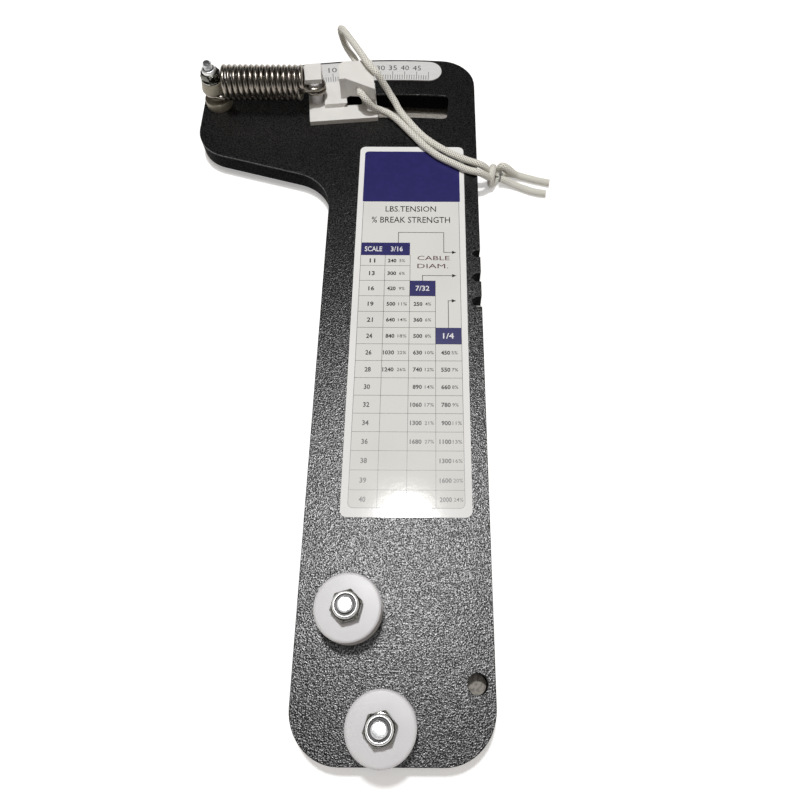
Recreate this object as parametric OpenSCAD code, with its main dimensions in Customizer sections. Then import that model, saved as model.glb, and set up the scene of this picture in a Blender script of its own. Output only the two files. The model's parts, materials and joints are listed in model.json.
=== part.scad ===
// Rigging tension gauge: a flat plate holds a cable between two grooved rollers
// and a sprung slider, which rides on an arc about the lower roller and reads the
// cable's deflection on a scale. Notches in the plate's edge size the cable.
// Millimetres. Origin under the middle of the plate, Z = 0 on the table, +Y to the scale.

/* [Plate] */
// Length of the plate, foot to the crown of its arc
plate_len = 368.5; // [300:0.5:450]
// Width of the stem
stem_w = 79; // [60:0.5:110]
// Width of the head, stem's right edge to the arm's end
head_w = 154.5; // [120:0.5:200]
// Thickness of the plate
plate_t = 9.5; // [6:0.5:14]
// Radius of the plate's outer corners
corner_r = 20; // [8:0.5:30]
// Height of the arm's underside where it meets the stem
arm_y = 276.5; // [240:0.5:300]
// Slope of the arm's underside in degrees
arm_slope = 15.8; // [5:0.1:30]
// Radius of the inner corner under the arm
crook_r = 24; // [10:0.5:40]
// Height of the heads and the keeper that stand out of the back
back_h = 4; // [3:0.1:6]
// Radius of the hanging hole
hang_r = 3.97; // [2:0.01:6]
// Hanging hole, in from the stem's right edge
hang_inset = 6.9; // [6:0.1:20]
// Hanging hole, up from the foot
hang_y = 28.3; // [24:0.1:60]

/* [Size notches] */
// Width of the top notch
notch_top_w = 4.76; // [4:0.01:10]
// Width of the middle notch
notch_mid_w = 5.56; // [4:0.01:10]
// Width of the bottom notch
notch_low_w = 6.35; // [4:0.01:10]
// Depth of a notch beyond half of its width
notch_extra = 1.8; // [0:0.1:6]
// Height of the bottom notch
notch_y = 201; // [150:0.5:240]
// Rise from one notch to the next
notch_pitch = 14.25; // [10:0.05:20]

/* [Rollers] */
// Lower roller and slider pivot, left of the stem's centreline
pivot_left = 3.7; // [0:0.1:20]
// Lower roller and slider pivot, up from the foot
pivot_y = 13.5; // [13.5:0.5:40]
// Upper roller, left of the lower one
upper_left = 14; // [8:0.5:18]
// Upper roller, up from the lower one
upper_up = 41.5; // [35:0.5:60]
// Diameter over the roller's flanges
roller_d = 26.2; // [20:0.1:32]
// Thickness of a roller
roller_t = 12.7; // [10:0.1:20]
// Radius of the groove's floor
groove_r = 9; // [7:0.1:12]
// Width of the groove's floor
groove_floor_w = 6.6; // [4.5:0.1:8]
// Width of the groove's mouth
groove_mouth_w = 7.4; // [4.5:0.1:9]
// Bore of a roller, over its bush, in radius
bush_gap = 0.06; // [0.02:0.01:0.1]
// Free play at each end of a roller
roller_play = 0.15; // [0.1:0.05:0.5]

/* [Roller bolts] */
// Diameter of a roller bolt
bolt_d = 6.35; // [5:0.05:8]
// Gap between a bolt and the hole that it passes, in radius
bolt_gap = 0.1; // [0.05:0.05:0.5]
// Gap between a bolt and its nut, in radius
thread_gap = 0.05; // [0.02:0.01:0.2]
// Diameter of the fixed bush that a roller turns on
bush_d = 9.5; // [8:0.1:12]
// Diameter of a roller's washer
washer_d = 15.9; // [12:0.1:20]
// Thickness of a roller's washer
washer_t = 1.3; // [0.8:0.1:2]
// Width across the flats of a roller's nut and bolt head
nut_af = 11.1; // [9:0.1:14]
// Height of a roller nut's hexagon
nut_h = 5.5; // [4:0.1:7]
// Diameter of a roller nut's locking collar
collar_d = 10; // [9:0.1:11]
// Height of a roller nut's locking collar
collar_h = 2.4; // [1.5:0.1:4]
// Wall of a locking collar round its plastic ring
collar_wall = 0.8; // [0.5:0.1:1.5]
// Length of bolt that shows past a nut
bolt_end = 1.4; // [0.5:0.1:4]
// Turn of the upper nut in degrees
upper_turn = -14; // [-30:1:30]
// Turn of the lower nut in degrees
lower_turn = -18; // [-30:1:30]

/* [Spring post] */
// Post, in from the arm's end
post_inset = 8.8; // [8.4:0.1:14]
// Post, down from the crown of the plate's arc
post_drop = 36.15; // [30:0.05:60]
// Diameter of the sleeve's foot
post_d = 14.6; // [12:0.1:16]
// Height of the sleeve's foot
post_h = 4.9; // [4:0.1:5.5]
// Chamfer on the foot's upper edge
post_edge = 0.8; // [0.3:0.1:1.5]
// Diameter of the groove that carries the spring's loop
groove_d = 7.4; // [6:0.1:9]
// Height of the groove
groove_h = 6; // [3:0.5:9]
// Diameter of the sleeve's collar over the groove
bead_d = 13.7; // [11:0.1:16]
// Diameter of the sleeve's top
post_top_d = 11.4; // [9:0.1:13]
// Height of the sleeve's collar
bead_h = 5.8; // [4:0.1:9]
// Diameter of the washer on the sleeve
top_washer_d = 11; // [9:0.1:13]
// Thickness of the washer on the sleeve
top_washer_t = 0.9; // [0.5:0.1:2]
// Diameter of the post's bolt
post_bolt_d = 4.8; // [4:0.1:6]
// Width across the flats of the post's nut and bolt head
post_af = 9.5; // [8:0.1:11]
// Height of the post nut's hexagon
post_nut_h = 4; // [3:0.1:6]
// Diameter of the post nut's collar
post_collar_d = 7.6; // [7:0.1:9.5]
// Height of the post nut's collar
post_collar_h = 2; // [1:0.1:3]
// Post bolt's end over its nut
post_bolt_end = 3.7; // [0.5:0.1:5]
// Diameter of the washer under the post's bolt head
back_washer_d = 12; // [10:0.1:14]
// Thickness of the washer under the post's bolt head
back_washer_t = 1; // [0.5:0.1:2]

/* [Tension spring] */
// Diameter of the spring's wire
wire_d = 2.4; // [1.5:0.1:2.5]
// Mean radius of the spring's coils
coil_r = 8; // [6:0.05:9]
// Least rise from coil to coil
coil_pitch_min = 2.95; // [2.85:0.05:4]
// First coil, along the spring from the post
coil_from = 5.6; // [5:0.1:8]
// Last coil, along the spring from the pin
coil_to = 6.3; // [5:0.1:8]
// Height of the spring's axis over the plate
spring_z = 14.3; // [12:0.1:16]
// Height of the loop on the post over the plate
post_loop_z = 9.5; // [8:0.1:12]
// Height of the upper loop on the pin over the plate
pin_loop_z = 14; // [12:0.1:16]
// Drop to the lower loop on the pin
pin_drop = 2.9; // [2.9:0.1:4]
// Gap between an end loop and the post or pin in it
loop_gap = 0.15; // [0.1:0.05:0.5]

/* [Arc and scale] */
// Middle of the slot, below the crown of the plate's arc
slot_drop = 37; // [32:0.5:60]
// Width of the slot
slot_w = 18; // [14:0.5:22]
// Slot's right end, in degrees from +Y
slot_end = 5; // [3:0.1:6]
// Radius of the slot's corners
slot_corner_r = 2.5; // [1:0.1:5]
// Slider's rest place, in degrees left of +Y
rest_angle = 5.83; // [4:0.01:8]
// Scale strip's upper edge, below the crown of the plate's arc
scale_edge = 1.7; // [0.5:0.1:4]
// Width of the scale strip
scale_w = 15.3; // [10:0.1:16]
// Left end of the strip's straight part, in degrees left of +Y
scale_left = 9.9; // [9:0.1:12]
// Right end of the strip's straight part, in degrees right of +Y
scale_right = 2.75; // [2:0.05:3]
// Thickness of the scale strip
scale_t = 0.5; // [0.3:0.1:1]
// Width of the data label
label_w = 56.6; // [40:0.1:70]
// Height of the data label
label_h = 207.1; // [150:0.1:220]
// Data label, in from the stem's right edge
label_inset = 7.3; // [6:0.1:14]
// Data label, up from the foot
label_y = 93.1; // [80:0.1:110]
// Radius of the data label's corners
label_r = 3; // [1:0.5:8]
// Thickness of the data label
label_t = 0.2; // [0.1:0.1:0.5]

/* [Slider] */
// Gap between the slider and the plate, on each face
slide_gap = 0.2; // [0.1:0.05:0.5]
// Gap between the slider's tongues and the slot's sides
tongue_gap = 0.3; // [0.2:0.05:0.6]
// Slider's base, left of the slider's middle
base_left = 18.5; // [16:0.5:22]
// Slider's base, right of the slider's middle
base_right = 19.5; // [17:0.5:24]
// Slider's base, in front of the slot's middle line
base_front = 12.5; // [10:0.5:16]
// Slider's back, behind the slot's middle line
base_back = 14; // [12:0.5:16]
// Height of the base over the plate
base_h = 3; // [2:0.1:4]
// Height of the cable channel's floor over the plate
floor_h = 5.6; // [4:0.1:7]
// Front of the cable channel's floor, in front of the slot's middle line
floor_front = 3; // [0:0.5:6]
// Height of the slider's top over the plate
tower_h = 18.5; // [16:0.5:24]
// Width of the right tower
tower_w = 19; // [16:0.5:24]
// Right tower's front, behind the slot's middle line, at its left side
tower_front = 0.9; // [0:0.1:4]
// Width of the right tower's straight front
tower_flat = 3.5; // [2:0.5:8]
// Right tower's front, in front of the slot's middle line, at its right side
tower_nose = 8.6; // [2:0.1:10]
// Front of the right tower's leg, in front of the slot's middle line
leg_front = 5; // [0:0.5:8]
// Thickness of the towers' walls and roofs
wall = 2.9; // [2:0.1:4]
// Radius of the right tower's left back corner
tower_r = 4; // [1:0.5:6]
// Width of the cable channel
channel_w = 8; // [7:0.5:10]
// Right edge of the left tower, left of the slider's middle
tab_right = 9.5; // [9:0.5:12]
// Front of the left tower's roof, behind the slot's middle line
tab_front = 1.5; // [0:0.5:4]
// Height of the curtain's lower edge at its left end
curtain_low = 4; // [3.2:0.1:8]
// Height of the curtain's lower edge where it bends
curtain_mid = 7.5; // [6:0.1:12]
// Height of the curtain's lower edge at its right end
curtain_high = 11.8; // [9:0.1:13]
// Window in the base, its front and back about the slot's middle line
window_from = -2; // [-5:0.5:0]
// Back edge of the window in the base
window_to = 9; // [5:0.5:10]
// Outer radius of the lanyard's holes
cord_hole_r = 2.2; // [2:0.1:3]
// Lanyard's holes, right of the slider's middle
cord_u = 10.8; // [8:0.1:13]
// Height of the lanyard's holes over the plate
cord_z = 13.5; // [12.5:0.1:14]
// Spring pin, left of the slider's middle
pin_left = 13.75; // [13:0.05:15]
// Spring pin, behind the slot's middle line
pin_back = 4; // [2:0.1:5]
// Diameter of the spring pin
pin_d = 4.8; // [3:0.1:5]
// Diameter of the bush on the spring pin
pin_bush_d = 7; // [6:0.1:7]
// Length of the pin's ends inside the base and the roof
pin_seat = 1.6; // [1:0.1:2]
// Width of the left tongue
left_tongue_w = 9; // [6:0.5:9]
// Width of the right tongue
right_tongue_w = 7.6; // [6:0.1:9]
// Tongues, in from the ends of the base
tongue_inset = 0.7; // [0.5:0.1:2]
// Keeper plate past the slot, on each side
keeper_lap = 4; // [3:0.5:6]
// Diameter of the keeper's screws
screw_d = 3; // [2:0.1:4]
// Length of the keeper's screws
screw_len = 12; // [8:0.5:13]
// Diameter of the keeper's screw heads
screw_head_d = 5.6; // [5:0.1:7]

/* [Lanyard] */
// Diameter of the lanyard's cord
cord_d = 3.8; // [3:0.1:4]
// Length of the knot
knot_len = 12.6; // [10:0.1:16]
// Width of the knot
knot_w = 11; // [9:0.1:14]

/* [Hidden] */
$fn = 96;
bite = 1;
plate_z = back_h;
face_z = plate_z + plate_t;
foot_y = -plate_len / 2;
left_x = -head_w / 2;
right_x = head_w / 2;
stem_x = right_x - stem_w / 2;
pivot = [stem_x - pivot_left, foot_y + pivot_y];
upper = pivot + [-upper_left, upper_up];
crown_r = plate_len - pivot_y;
slot_r = crown_r - slot_drop;
scale_r = crown_r - scale_edge - scale_w;
hang = [right_x - hang_inset, foot_y + hang_y];
post = [left_x + post_inset, foot_y + plate_len - post_drop];
hex_turn = 30;
hex_sides = 6;

// The plate's corners: centres of their rounds and the points where these end.
arm_corner = [right_x - stem_w, foot_y + arm_y];
arm_run = [-cos(arm_slope), sin(arm_slope)];
arm_down = [-sin(arm_slope), -cos(arm_slope)];
function arm_at(x, off) = arm_corner + arm_run * ((arm_corner[0] + arm_down[0] * off - x) / cos(arm_slope));
crook_foot = arm_at(arm_corner[0] - crook_r, crook_r);
crook_c = crook_foot + arm_down * crook_r;
elbow_foot = arm_at(left_x + corner_r, -corner_r);
elbow_c = elbow_foot - arm_down * corner_r;
function crown_y(x) = pivot[1] + sqrt(pow(crown_r - corner_r, 2) - pow(x - pivot[0], 2));
shoulder_l = [left_x + corner_r, crown_y(left_x + corner_r)];
shoulder_r = [right_x - corner_r, crown_y(right_x - corner_r)];
function on_crown(c) = pivot + (c - pivot) * (crown_r / (crown_r - corner_r));

// Rollers, from the plate's face up.
bush_len = roller_t + 2 * roller_play;
roller_z = face_z + washer_t + roller_play;
nut_z = face_z + washer_t + bush_len;
bolt_top = nut_z + nut_h + collar_h + bolt_end;
bead_z = face_z + post_h + groove_h;
post_nut_z = bead_z + bead_h + top_washer_t;
post_bolt_top = post_nut_z + post_nut_h + post_collar_h + post_bolt_end;
post_head_h = back_h - back_washer_t;

// The slider's own frame: u to the right and v outward from the slot's middle line.
tongue_w = slot_w / 2 - tongue_gap;
stop_gap = 0.02;
slot_start = rest_angle + asin((base_left - tongue_inset + stop_gap) / (slot_r - tongue_w));
function at_slider(u, v) = pivot + [cos(rest_angle) * u - sin(rest_angle) * (slot_r + v),
                                    sin(rest_angle) * u + cos(rest_angle) * (slot_r + v)];
pin = at_slider(-pin_left, pin_back);
nose_slope = atan((tower_front + tower_nose) / (tower_w - tower_flat));
roof_z = tower_h - wall;
keeper_t = back_h - slide_gap;
left_screw_u = tongue_inset + left_tongue_w / 2 - base_left;
right_screw_u = base_right - tongue_inset - right_tongue_w / 2;
screw_gap = 0.05;

// The spring's one wire: a loop round the post, the coils, and a loop round the pin.
wire_r = wire_d / 2;
post_loop_r = groove_d / 2 + loop_gap + wire_r;
pin_loop_r = pin_bush_d / 2 + loop_gap + wire_r;
spring_len = norm(pin - post);
spring_dir = (pin - post) / spring_len;
curl_rings = 8;
loop_step = 20;
post_turn = 180;
first_phase = 240;
last_phase = 505;
coil_run = spring_len - coil_from - coil_to;
part_turn = (last_phase - first_phase) / 360;
turns = floor(coil_run / coil_pitch_min - part_turn) + part_turn;
coil_pitch = coil_run / turns;
blend_pull = 7;
way_step = 0.01;
function in_spring(s, w, z) = [post[0] + spring_dir[0] * s - spring_dir[1] * w,
                               post[1] + spring_dir[1] * s + spring_dir[0] * w,
                               face_z + spring_z + z];
function coil_at(t) = [coil_from + coil_pitch * t, coil_r * cos(first_phase + 360 * t),
                       coil_r * sin(first_phase + 360 * t)];
post_dip = post_loop_z - spring_z;
pin_dip = pin_loop_z - spring_z;
pin_turn = 580;
function coil_way(t) = unit(coil_at(t + way_step) - coil_at(t - way_step));
function bezier(a, b, c, d, t) = a * pow(1 - t, 3) + b * 3 * t * pow(1 - t, 2)
                                 + c * 3 * t * t * (1 - t) + d * pow(t, 3);
post_loop = [for (a = [-post_turn : loop_step : 0])
    [post_loop_r * sin(a), -post_loop_r * cos(a), post_dip]];
pin_loop = [for (a = [0 : loop_step : pin_turn])
    [spring_len + pin_loop_r * sin(a), -pin_loop_r * cos(a), pin_dip - pin_drop * a / 360]];
function loop_end(from, next) = from + unit(from - next) * wire_d;
start_blend = [for (t = [0.25 : 0.25 : 0.75])
    bezier([0, -post_loop_r, post_dip], [blend_pull / 2, -post_loop_r, post_dip],
           coil_at(0) - coil_way(0) * blend_pull / 2, coil_at(0), t)];
end_blend = [for (t = [0.25 : 0.25 : 0.75])
    bezier(coil_at(turns), coil_at(turns) + coil_way(turns) * blend_pull / 2,
           [spring_len - blend_pull / 2, -pin_loop_r, pin_dip], [spring_len, -pin_loop_r, pin_dip], t)];
coils = [for (i = [0 : round(turns * curl_rings)]) coil_at(i * turns / round(turns * curl_rings))];
spring_local = concat([loop_end(post_loop[0], post_loop[1])], post_loop, start_blend, coils,
                      end_blend, pin_loop,
                      [loop_end(pin_loop[len(pin_loop) - 1], pin_loop[len(pin_loop) - 2])]);
spring_path = [for (p = spring_local) in_spring(p[0], p[1], p[2])];
spring_gap = min([for (i = [0 : len(spring_path) - 1], j = [i + curl_rings - 2 : 1 : len(spring_path) - 1])
    norm(spring_path[i] - spring_path[j])]) - wire_d;
echo(spring_gap = spring_gap);

// The lanyard's route. Its back strand runs from the back hole round the bight and over
// the slider to the knot. Its front strand runs through both holes and down to the knot.
cord_sides = 8;
back_hole = at_slider(cord_u, base_back);
front_hole = at_slider(cord_u, -tower_nose / 2);
back_strand = [
    [back_hole[0], back_hole[1], face_z + cord_z], [9.9, 165.8, 26.2], [8, 172.6, 23.7],
    [5.9, 179.2, 20.7], [4.1, 184.8, 18.3], [2.4, 189.3, 17.2], [0.8, 193, 17.6],
    [-0.5, 195.6, 19.6], [-1, 196, 22.6], [-0.7, 194.3, 25.8], [0.4, 191, 28.4],
    [2, 186.8, 30.4], [4.1, 181.9, 32], [6.7, 176.3, 33.1], [9.4, 170.8, 33.9],
    [12, 165.5, 34.4], [14.6, 160.4, 34.7], [18, 154.3, 34.7], [21.5, 150, 34],
    [23.8, 148.6, 31.5], [25.5, 147.8, 28.5], [27.5, 147, 25.3], [29.5, 145.5, 22.3],
    [32, 143, 19.7], [34, 140, 17.7], [38.5, 134, 16], [48, 121.5, 15.7], [57, 113.5, 15.8],
    [64, 108.5, 16], [72, 104.5, 15.8], [77.5, 102.5, 15.6], [81, 102.5, 13.5],
    [83, 103, 10.8], [84.5, 103.5, 8.5]];
front_strand = [
    [back_hole[0], back_hole[1], face_z + cord_z], [front_hole[0], front_hole[1], face_z + cord_z],
    [13.7, 141.2, 27], [15.5, 138.8, 26.3], [17.3, 138, 24.4], [18.8, 138, 22],
    [21.2, 138.6, 19.3], [24, 139.3, 17.4], [28.5, 138, 16.2], [33.5, 133.5, 15.8],
    [39.5, 126, 15.7], [47.5, 116, 15.7], [55.5, 108, 15.7], [64, 102.5, 15.7],
    [72, 98, 15.7], [77.5, 96.5, 15.6], [80.5, 97, 13.5], [82.5, 98, 11], [84, 99.5, 8.5]];
upper_tail = [[93.5, 106, 4.6], [99.5, 106.5, 3], [104.5, 105.5, 2.2], [111, 103.5, 2], [118.5, 101.5, 2]];
lower_tail = [[93, 101.5, 4.2], [97, 100.5, 2.6], [102, 98.5, 2], [109, 95.5, 2], [116, 94, 2]];
knot_at = [88.7, 102.6, 6];
knot_aim = -12;
knot_rings = 20;
knot_sides = 18;

function unit(v) = v / norm(v);
function way(p, i) = unit(p[min(i + 1, len(p) - 1)] - p[max(i - 1, 0)]);
function across(n, t) = unit(n - t * (n * t));
function carried(p) = [for (i = 0, n = across([0, 0, 1], way(p, 0)); i < len(p);
                            i = i + 1, n = across(n, way(p, min(i, len(p) - 1)))) n];

// What lies between an outer corner and its round, of centre c and ends a and b.
module corner_piece(c, a, b) {
    mid = (a + b) / 2 - c;
    r = norm(a - c);
    difference() {
        polygon([c, c + (a - c) * 1.1, c + mid * (1.2 * r * r / (mid * mid)), c + (b - c) * 1.1]);
        translate(c) circle(r = r);
    }
}

// A sector of a ring about the pivot, from angle a to angle b, in degrees right of +Y.
module ring_sector(r_in, r_out, a, b) {
    translate(pivot) intersection() {
        difference() {
            circle(r = r_out);
            circle(r = r_in);
        }
        polygon([[0, 0], [sin(a), cos(a)] * r_out * 1.1, [sin(b), cos(b)] * r_out * 1.1]);
    }
}

// A notch that runs in from the stem's right edge, with a round inner end.
module size_notch(w, y) {
    translate([right_x - notch_extra, foot_y + y]) circle(d = w);
    translate([right_x - notch_extra, foot_y + y - w / 2]) square([notch_extra + bite, w]);
}

module stem_and_head() {
    difference() {
        intersection() {
            translate(pivot) circle(r = crown_r);
            polygon([[arm_corner[0], foot_y], [right_x, foot_y], [right_x, -foot_y + bite],
                     [left_x, -foot_y + bite], arm_at(left_x, 0), crook_foot, crook_c,
                     [arm_corner[0], crook_c[1]]]);
        }
        translate(crook_c) circle(r = crook_r);
        corner_piece([right_x - corner_r, foot_y + corner_r], [right_x - corner_r, foot_y],
                  [right_x, foot_y + corner_r]);
        corner_piece([arm_corner[0] + corner_r, foot_y + corner_r], [arm_corner[0] + corner_r, foot_y],
                  [arm_corner[0], foot_y + corner_r]);
        corner_piece(elbow_c, elbow_foot, [left_x, elbow_c[1]]);
        corner_piece(shoulder_l, on_crown(shoulder_l), [left_x, shoulder_l[1]]);
        corner_piece(shoulder_r, on_crown(shoulder_r), [right_x, shoulder_r[1]]);
    }
}

module slot() {
    half = slot_w / 2;
    tuck = asin(slot_corner_r / slot_r);
    ring_sector(slot_r - half, slot_r + half, -slot_start, slot_end - tuck);
    ring_sector(slot_r - half + slot_corner_r, slot_r + half - slot_corner_r, slot_end - 2 * tuck, slot_end);
    for (r = [slot_r - half + slot_corner_r, slot_r + half - slot_corner_r])
        translate(pivot + [sin(slot_end - tuck), cos(slot_end - tuck)] * r) circle(r = slot_corner_r);
}

module frame_plate() {
    color("#2b2c2e") translate([0, 0, plate_z]) linear_extrude(plate_t) difference() {
        stem_and_head();
        slot();
        translate(hang) circle(r = hang_r);
        translate(pivot) circle(d = bolt_d + 2 * bolt_gap);
        translate(upper) circle(d = bolt_d + 2 * bolt_gap);
        translate(post) circle(d = post_bolt_d + 2 * bolt_gap);
        size_notch(notch_low_w, notch_y);
        size_notch(notch_mid_w, notch_y + notch_pitch);
        size_notch(notch_top_w, notch_y + 2 * notch_pitch);
    }
}

module data_label() {
    color("#e9eaec") translate([right_x - label_inset - label_w, foot_y + label_y, face_z])
        linear_extrude(label_t) union() {
            translate([label_r, 0]) square([label_w - 2 * label_r, label_h]);
            translate([0, label_r]) square([label_w, label_h - 2 * label_r]);
            for (x = [label_r, label_w - label_r], y = [label_r, label_h - label_r])
                translate([x, y]) circle(r = label_r);
        }
}

module scale_strip() {
    mid = scale_r + scale_w / 2;
    color("#d6d7d8") translate([0, 0, face_z]) linear_extrude(scale_t) union() {
        ring_sector(scale_r, scale_r + scale_w, -scale_left, scale_right);
        translate(pivot + [sin(scale_right), cos(scale_right)] * mid) circle(d = scale_w);
    }
}

// A bolt from below: hexagonal head, shank and a chamfered end.
module hex_bolt(d, af, head_z, head_h, top) {
    tip = 0.6;
    translate([0, 0, head_z]) rotate([0, 0, hex_turn])
        cylinder(h = head_h, d = af / cos(180 / hex_sides), $fn = hex_sides);
    translate([0, 0, head_z]) cylinder(h = top - tip - head_z, d = d);
    translate([0, 0, top - tip]) cylinder(h = tip, d1 = d, d2 = d - 2 * tip);
}

module ring(d_out, d_in, z, h) {
    translate([0, 0, z]) linear_extrude(h) difference() {
        circle(d = d_out);
        circle(d = d_in);
    }
}

// A locking nut: chamfered hexagon under a round collar with a seat for its plastic ring.
module lock_nut(af, h, c_d, c_h, d) {
    across_corners = af / cos(180 / hex_sides);
    chamfer = (across_corners - af) / 2;
    difference() {
        union() {
            intersection() {
                cylinder(h = h, d = across_corners, $fn = hex_sides);
                union() {
                    cylinder(h = h - chamfer, d = across_corners + bite);
                    translate([0, 0, h - chamfer]) cylinder(h = chamfer, d1 = across_corners, d2 = af);
                }
            }
            cylinder(h = h + c_h - collar_wall, d = c_d);
            translate([0, 0, h + c_h - collar_wall])
                cylinder(h = collar_wall, d1 = c_d, d2 = c_d - 2 * collar_wall);
        }
        translate([0, 0, -bite]) cylinder(h = h + c_h + 2 * bite, d = d + 2 * thread_gap);
        translate([0, 0, h]) cylinder(h = c_h - collar_wall, d = c_d - 2 * collar_wall);
    }
}

module roller_bolt(at) {
    color("#8d9094") translate(at) hex_bolt(bolt_d, nut_af, 0, back_h, bolt_top);
}

module roller_washer(at) {
    color("#a4a7aa") translate(at) ring(washer_d, bolt_d + 2 * bolt_gap, face_z, washer_t);
}

module roller_bush(at) {
    color("#b3b5b8") translate(at) ring(bush_d, bolt_d + 2 * bolt_gap, face_z + washer_t, bush_len);
}

module roller_nut(at, turn) {
    color("#9b9ea2") translate([at[0], at[1], nut_z]) rotate([0, 0, turn])
        lock_nut(nut_af, nut_h, collar_d, collar_h, bolt_d);
}

module nut_ring(at, d, c_d, z, h) {
    color("#e6e4dc") translate(at) ring(c_d - 2 * collar_wall, d + 2 * thread_gap, z, h - collar_wall);
}

module roller(at) {
    lip = (roller_t - groove_mouth_w) / 2;
    floor_lip = (roller_t - groove_floor_w) / 2;
    bore = bush_d / 2 + bush_gap;
    edge = 0.6;
    color("#e4e4e0") translate([at[0], at[1], roller_z]) rotate_extrude()
        polygon([[bore, 0], [roller_d / 2 - edge, 0], [roller_d / 2, edge], [roller_d / 2, lip],
                 [groove_r, floor_lip], [groove_r, roller_t - floor_lip], [roller_d / 2, roller_t - lip],
                 [roller_d / 2, roller_t - edge], [roller_d / 2 - edge, roller_t], [bore, roller_t]]);
}

module upper_bolt() roller_bolt(upper);
module upper_washer() roller_washer(upper);
module upper_bush() roller_bush(upper);
module upper_roller() roller(upper);
module upper_nut() roller_nut(upper, upper_turn);
module upper_nut_ring() nut_ring(upper, bolt_d, collar_d, nut_z + nut_h, collar_h);
module lower_bolt() roller_bolt(pivot);
module lower_washer() roller_washer(pivot);
module lower_bush() roller_bush(pivot);
module lower_roller() roller(pivot);
module lower_nut() roller_nut(pivot, lower_turn);
module lower_nut_ring() nut_ring(pivot, bolt_d, collar_d, nut_z + nut_h, collar_h);

module post_bolt() {
    color("#85888c") translate(post)
        hex_bolt(post_bolt_d, post_af, 0, post_head_h, post_bolt_top);
}

module post_washer() {
    color("#a4a7aa") translate(post)
        ring(back_washer_d, post_bolt_d + 2 * bolt_gap, post_head_h, back_washer_t);
}

module post_sleeve() {
    bore = post_bolt_d / 2 + bolt_gap;
    color("#8b8d8f") translate(post) rotate_extrude()
        polygon([[bore, face_z], [post_d / 2, face_z], [post_d / 2, face_z + post_h - post_edge],
                 [post_d / 2 - post_edge, face_z + post_h], [groove_d / 2, face_z + post_h],
                 [groove_d / 2, bead_z], [bead_d / 2, bead_z], [post_top_d / 2, bead_z + bead_h],
                 [bore, bead_z + bead_h]]);
}

module top_washer() {
    color("#a4a7aa") translate(post)
        ring(top_washer_d, post_bolt_d + 2 * bolt_gap, bead_z + bead_h, top_washer_t);
}

module post_nut() {
    color("#9b9ea2") translate([post[0], post[1], post_nut_z])
        lock_nut(post_af, post_nut_h, post_collar_d, post_collar_h, post_bolt_d);
}

module post_nut_ring() nut_ring(post, post_bolt_d, post_collar_d, post_nut_z + post_nut_h, post_collar_h);

// A round tube of radius r along the points p.
module tube(p, r, sides) {
    n = carried(p);
    last = (len(p) - 1) * sides;
    pts = [for (i = [0 : len(p) - 1], k = [0 : sides - 1])
        p[i] + r * (n[i] * cos(360 * k / sides) + cross(way(p, i), n[i]) * sin(360 * k / sides))];
    skin = [for (i = [0 : len(p) - 2], k = [0 : sides - 1], half = [0, 1])
        let (a = i * sides + k, b = i * sides + (k + 1) % sides)
        half == 0 ? [a, b + sides, b] : [a, a + sides, b + sides]];
    caps = [for (k = [1 : sides - 2], half = [0, 1])
        half == 0 ? [0, k, k + 1] : [last, last + k + 1, last + k]];
    polyhedron(points = pts, faces = concat(skin, caps), convexity = 10);
}

module tension_spring() {
    color("#6f7276") tube(spring_path, wire_r, 6);
}

// Places a slider piece, drawn about the slot's middle line, in the plate's frame.
module on_arc(z) {
    translate([pivot[0], pivot[1], z]) rotate([0, 0, rest_angle]) translate([0, slot_r, 0]) children();
}

// A piece of the ring that the slider covers, drawn about the slot's middle line.
module arc_piece(half_w, from, to) {
    translate([0, -slot_r]) intersection() {
        difference() {
            circle(r = slot_r + half_w);
            circle(r = slot_r - half_w);
        }
        translate([from, slot_r - half_w - base_front]) square([to - from, 2 * (half_w + base_front)]);
    }
}

module tower_outline() {
    difference() {
        polygon([[0, tower_front], [tower_flat, tower_front], [tower_w, -tower_nose],
                 [tower_w, base_back], [0, base_back]]);
        corner_piece([tower_r, base_back - tower_r], [tower_r, base_back], [0, base_back - tower_r]);
    }
}

// The hollow of the right tower, seen from above.
module tower_inside() {
    intersection() {
        translate([0, wall / cos(nose_slope)]) tower_outline();
        translate([wall, -tower_nose]) square([tower_w - 2 * wall, tower_nose + base_back - wall]);
    }
}

// The opening under the curtain wall, in u and z.
module curtain_gap(right) {
    polygon([[wall / 2, base_h], [wall / 2, curtain_low], [tower_flat + wall / 2, curtain_mid],
             [right, curtain_high], [right, base_h]]);
}

// Stands an outline in u and z up, from v = from to v = to.
module along_v(from, to) {
    translate([0, to, 0]) rotate([90, 0, 0]) linear_extrude(to - from) children();
}

module slider_blank() {
    translate([-base_left, -base_front, slide_gap])
        cube([base_left + base_right, base_front + base_back, base_h - slide_gap]);
    translate([-tab_right, -floor_front, base_h - bite])
        cube([tab_right + tower_w, floor_front + base_back, floor_h - base_h + bite]);
    translate([-base_left, base_back - wall, base_h - bite])
        cube([base_left - tab_right, wall, tower_h - base_h + bite]);
    translate([-base_left, tab_front, roof_z]) cube([base_left - tab_right, base_back - tab_front, wall]);
    linear_extrude(tower_h) intersection() {
        tower_outline();
        translate([0, -base_front + bite]) square([tower_w, base_front + base_back]);
    }
}

module tongues() {
    deep = plate_t + slide_gap;
    for (side = [[tongue_inset - base_left, left_tongue_w],
                 [base_right - tongue_inset - right_tongue_w, right_tongue_w]])
        translate([0, 0, -deep]) linear_extrude(deep + base_h) arc_piece(tongue_w, side[0], side[0] + side[1]);
}

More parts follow.
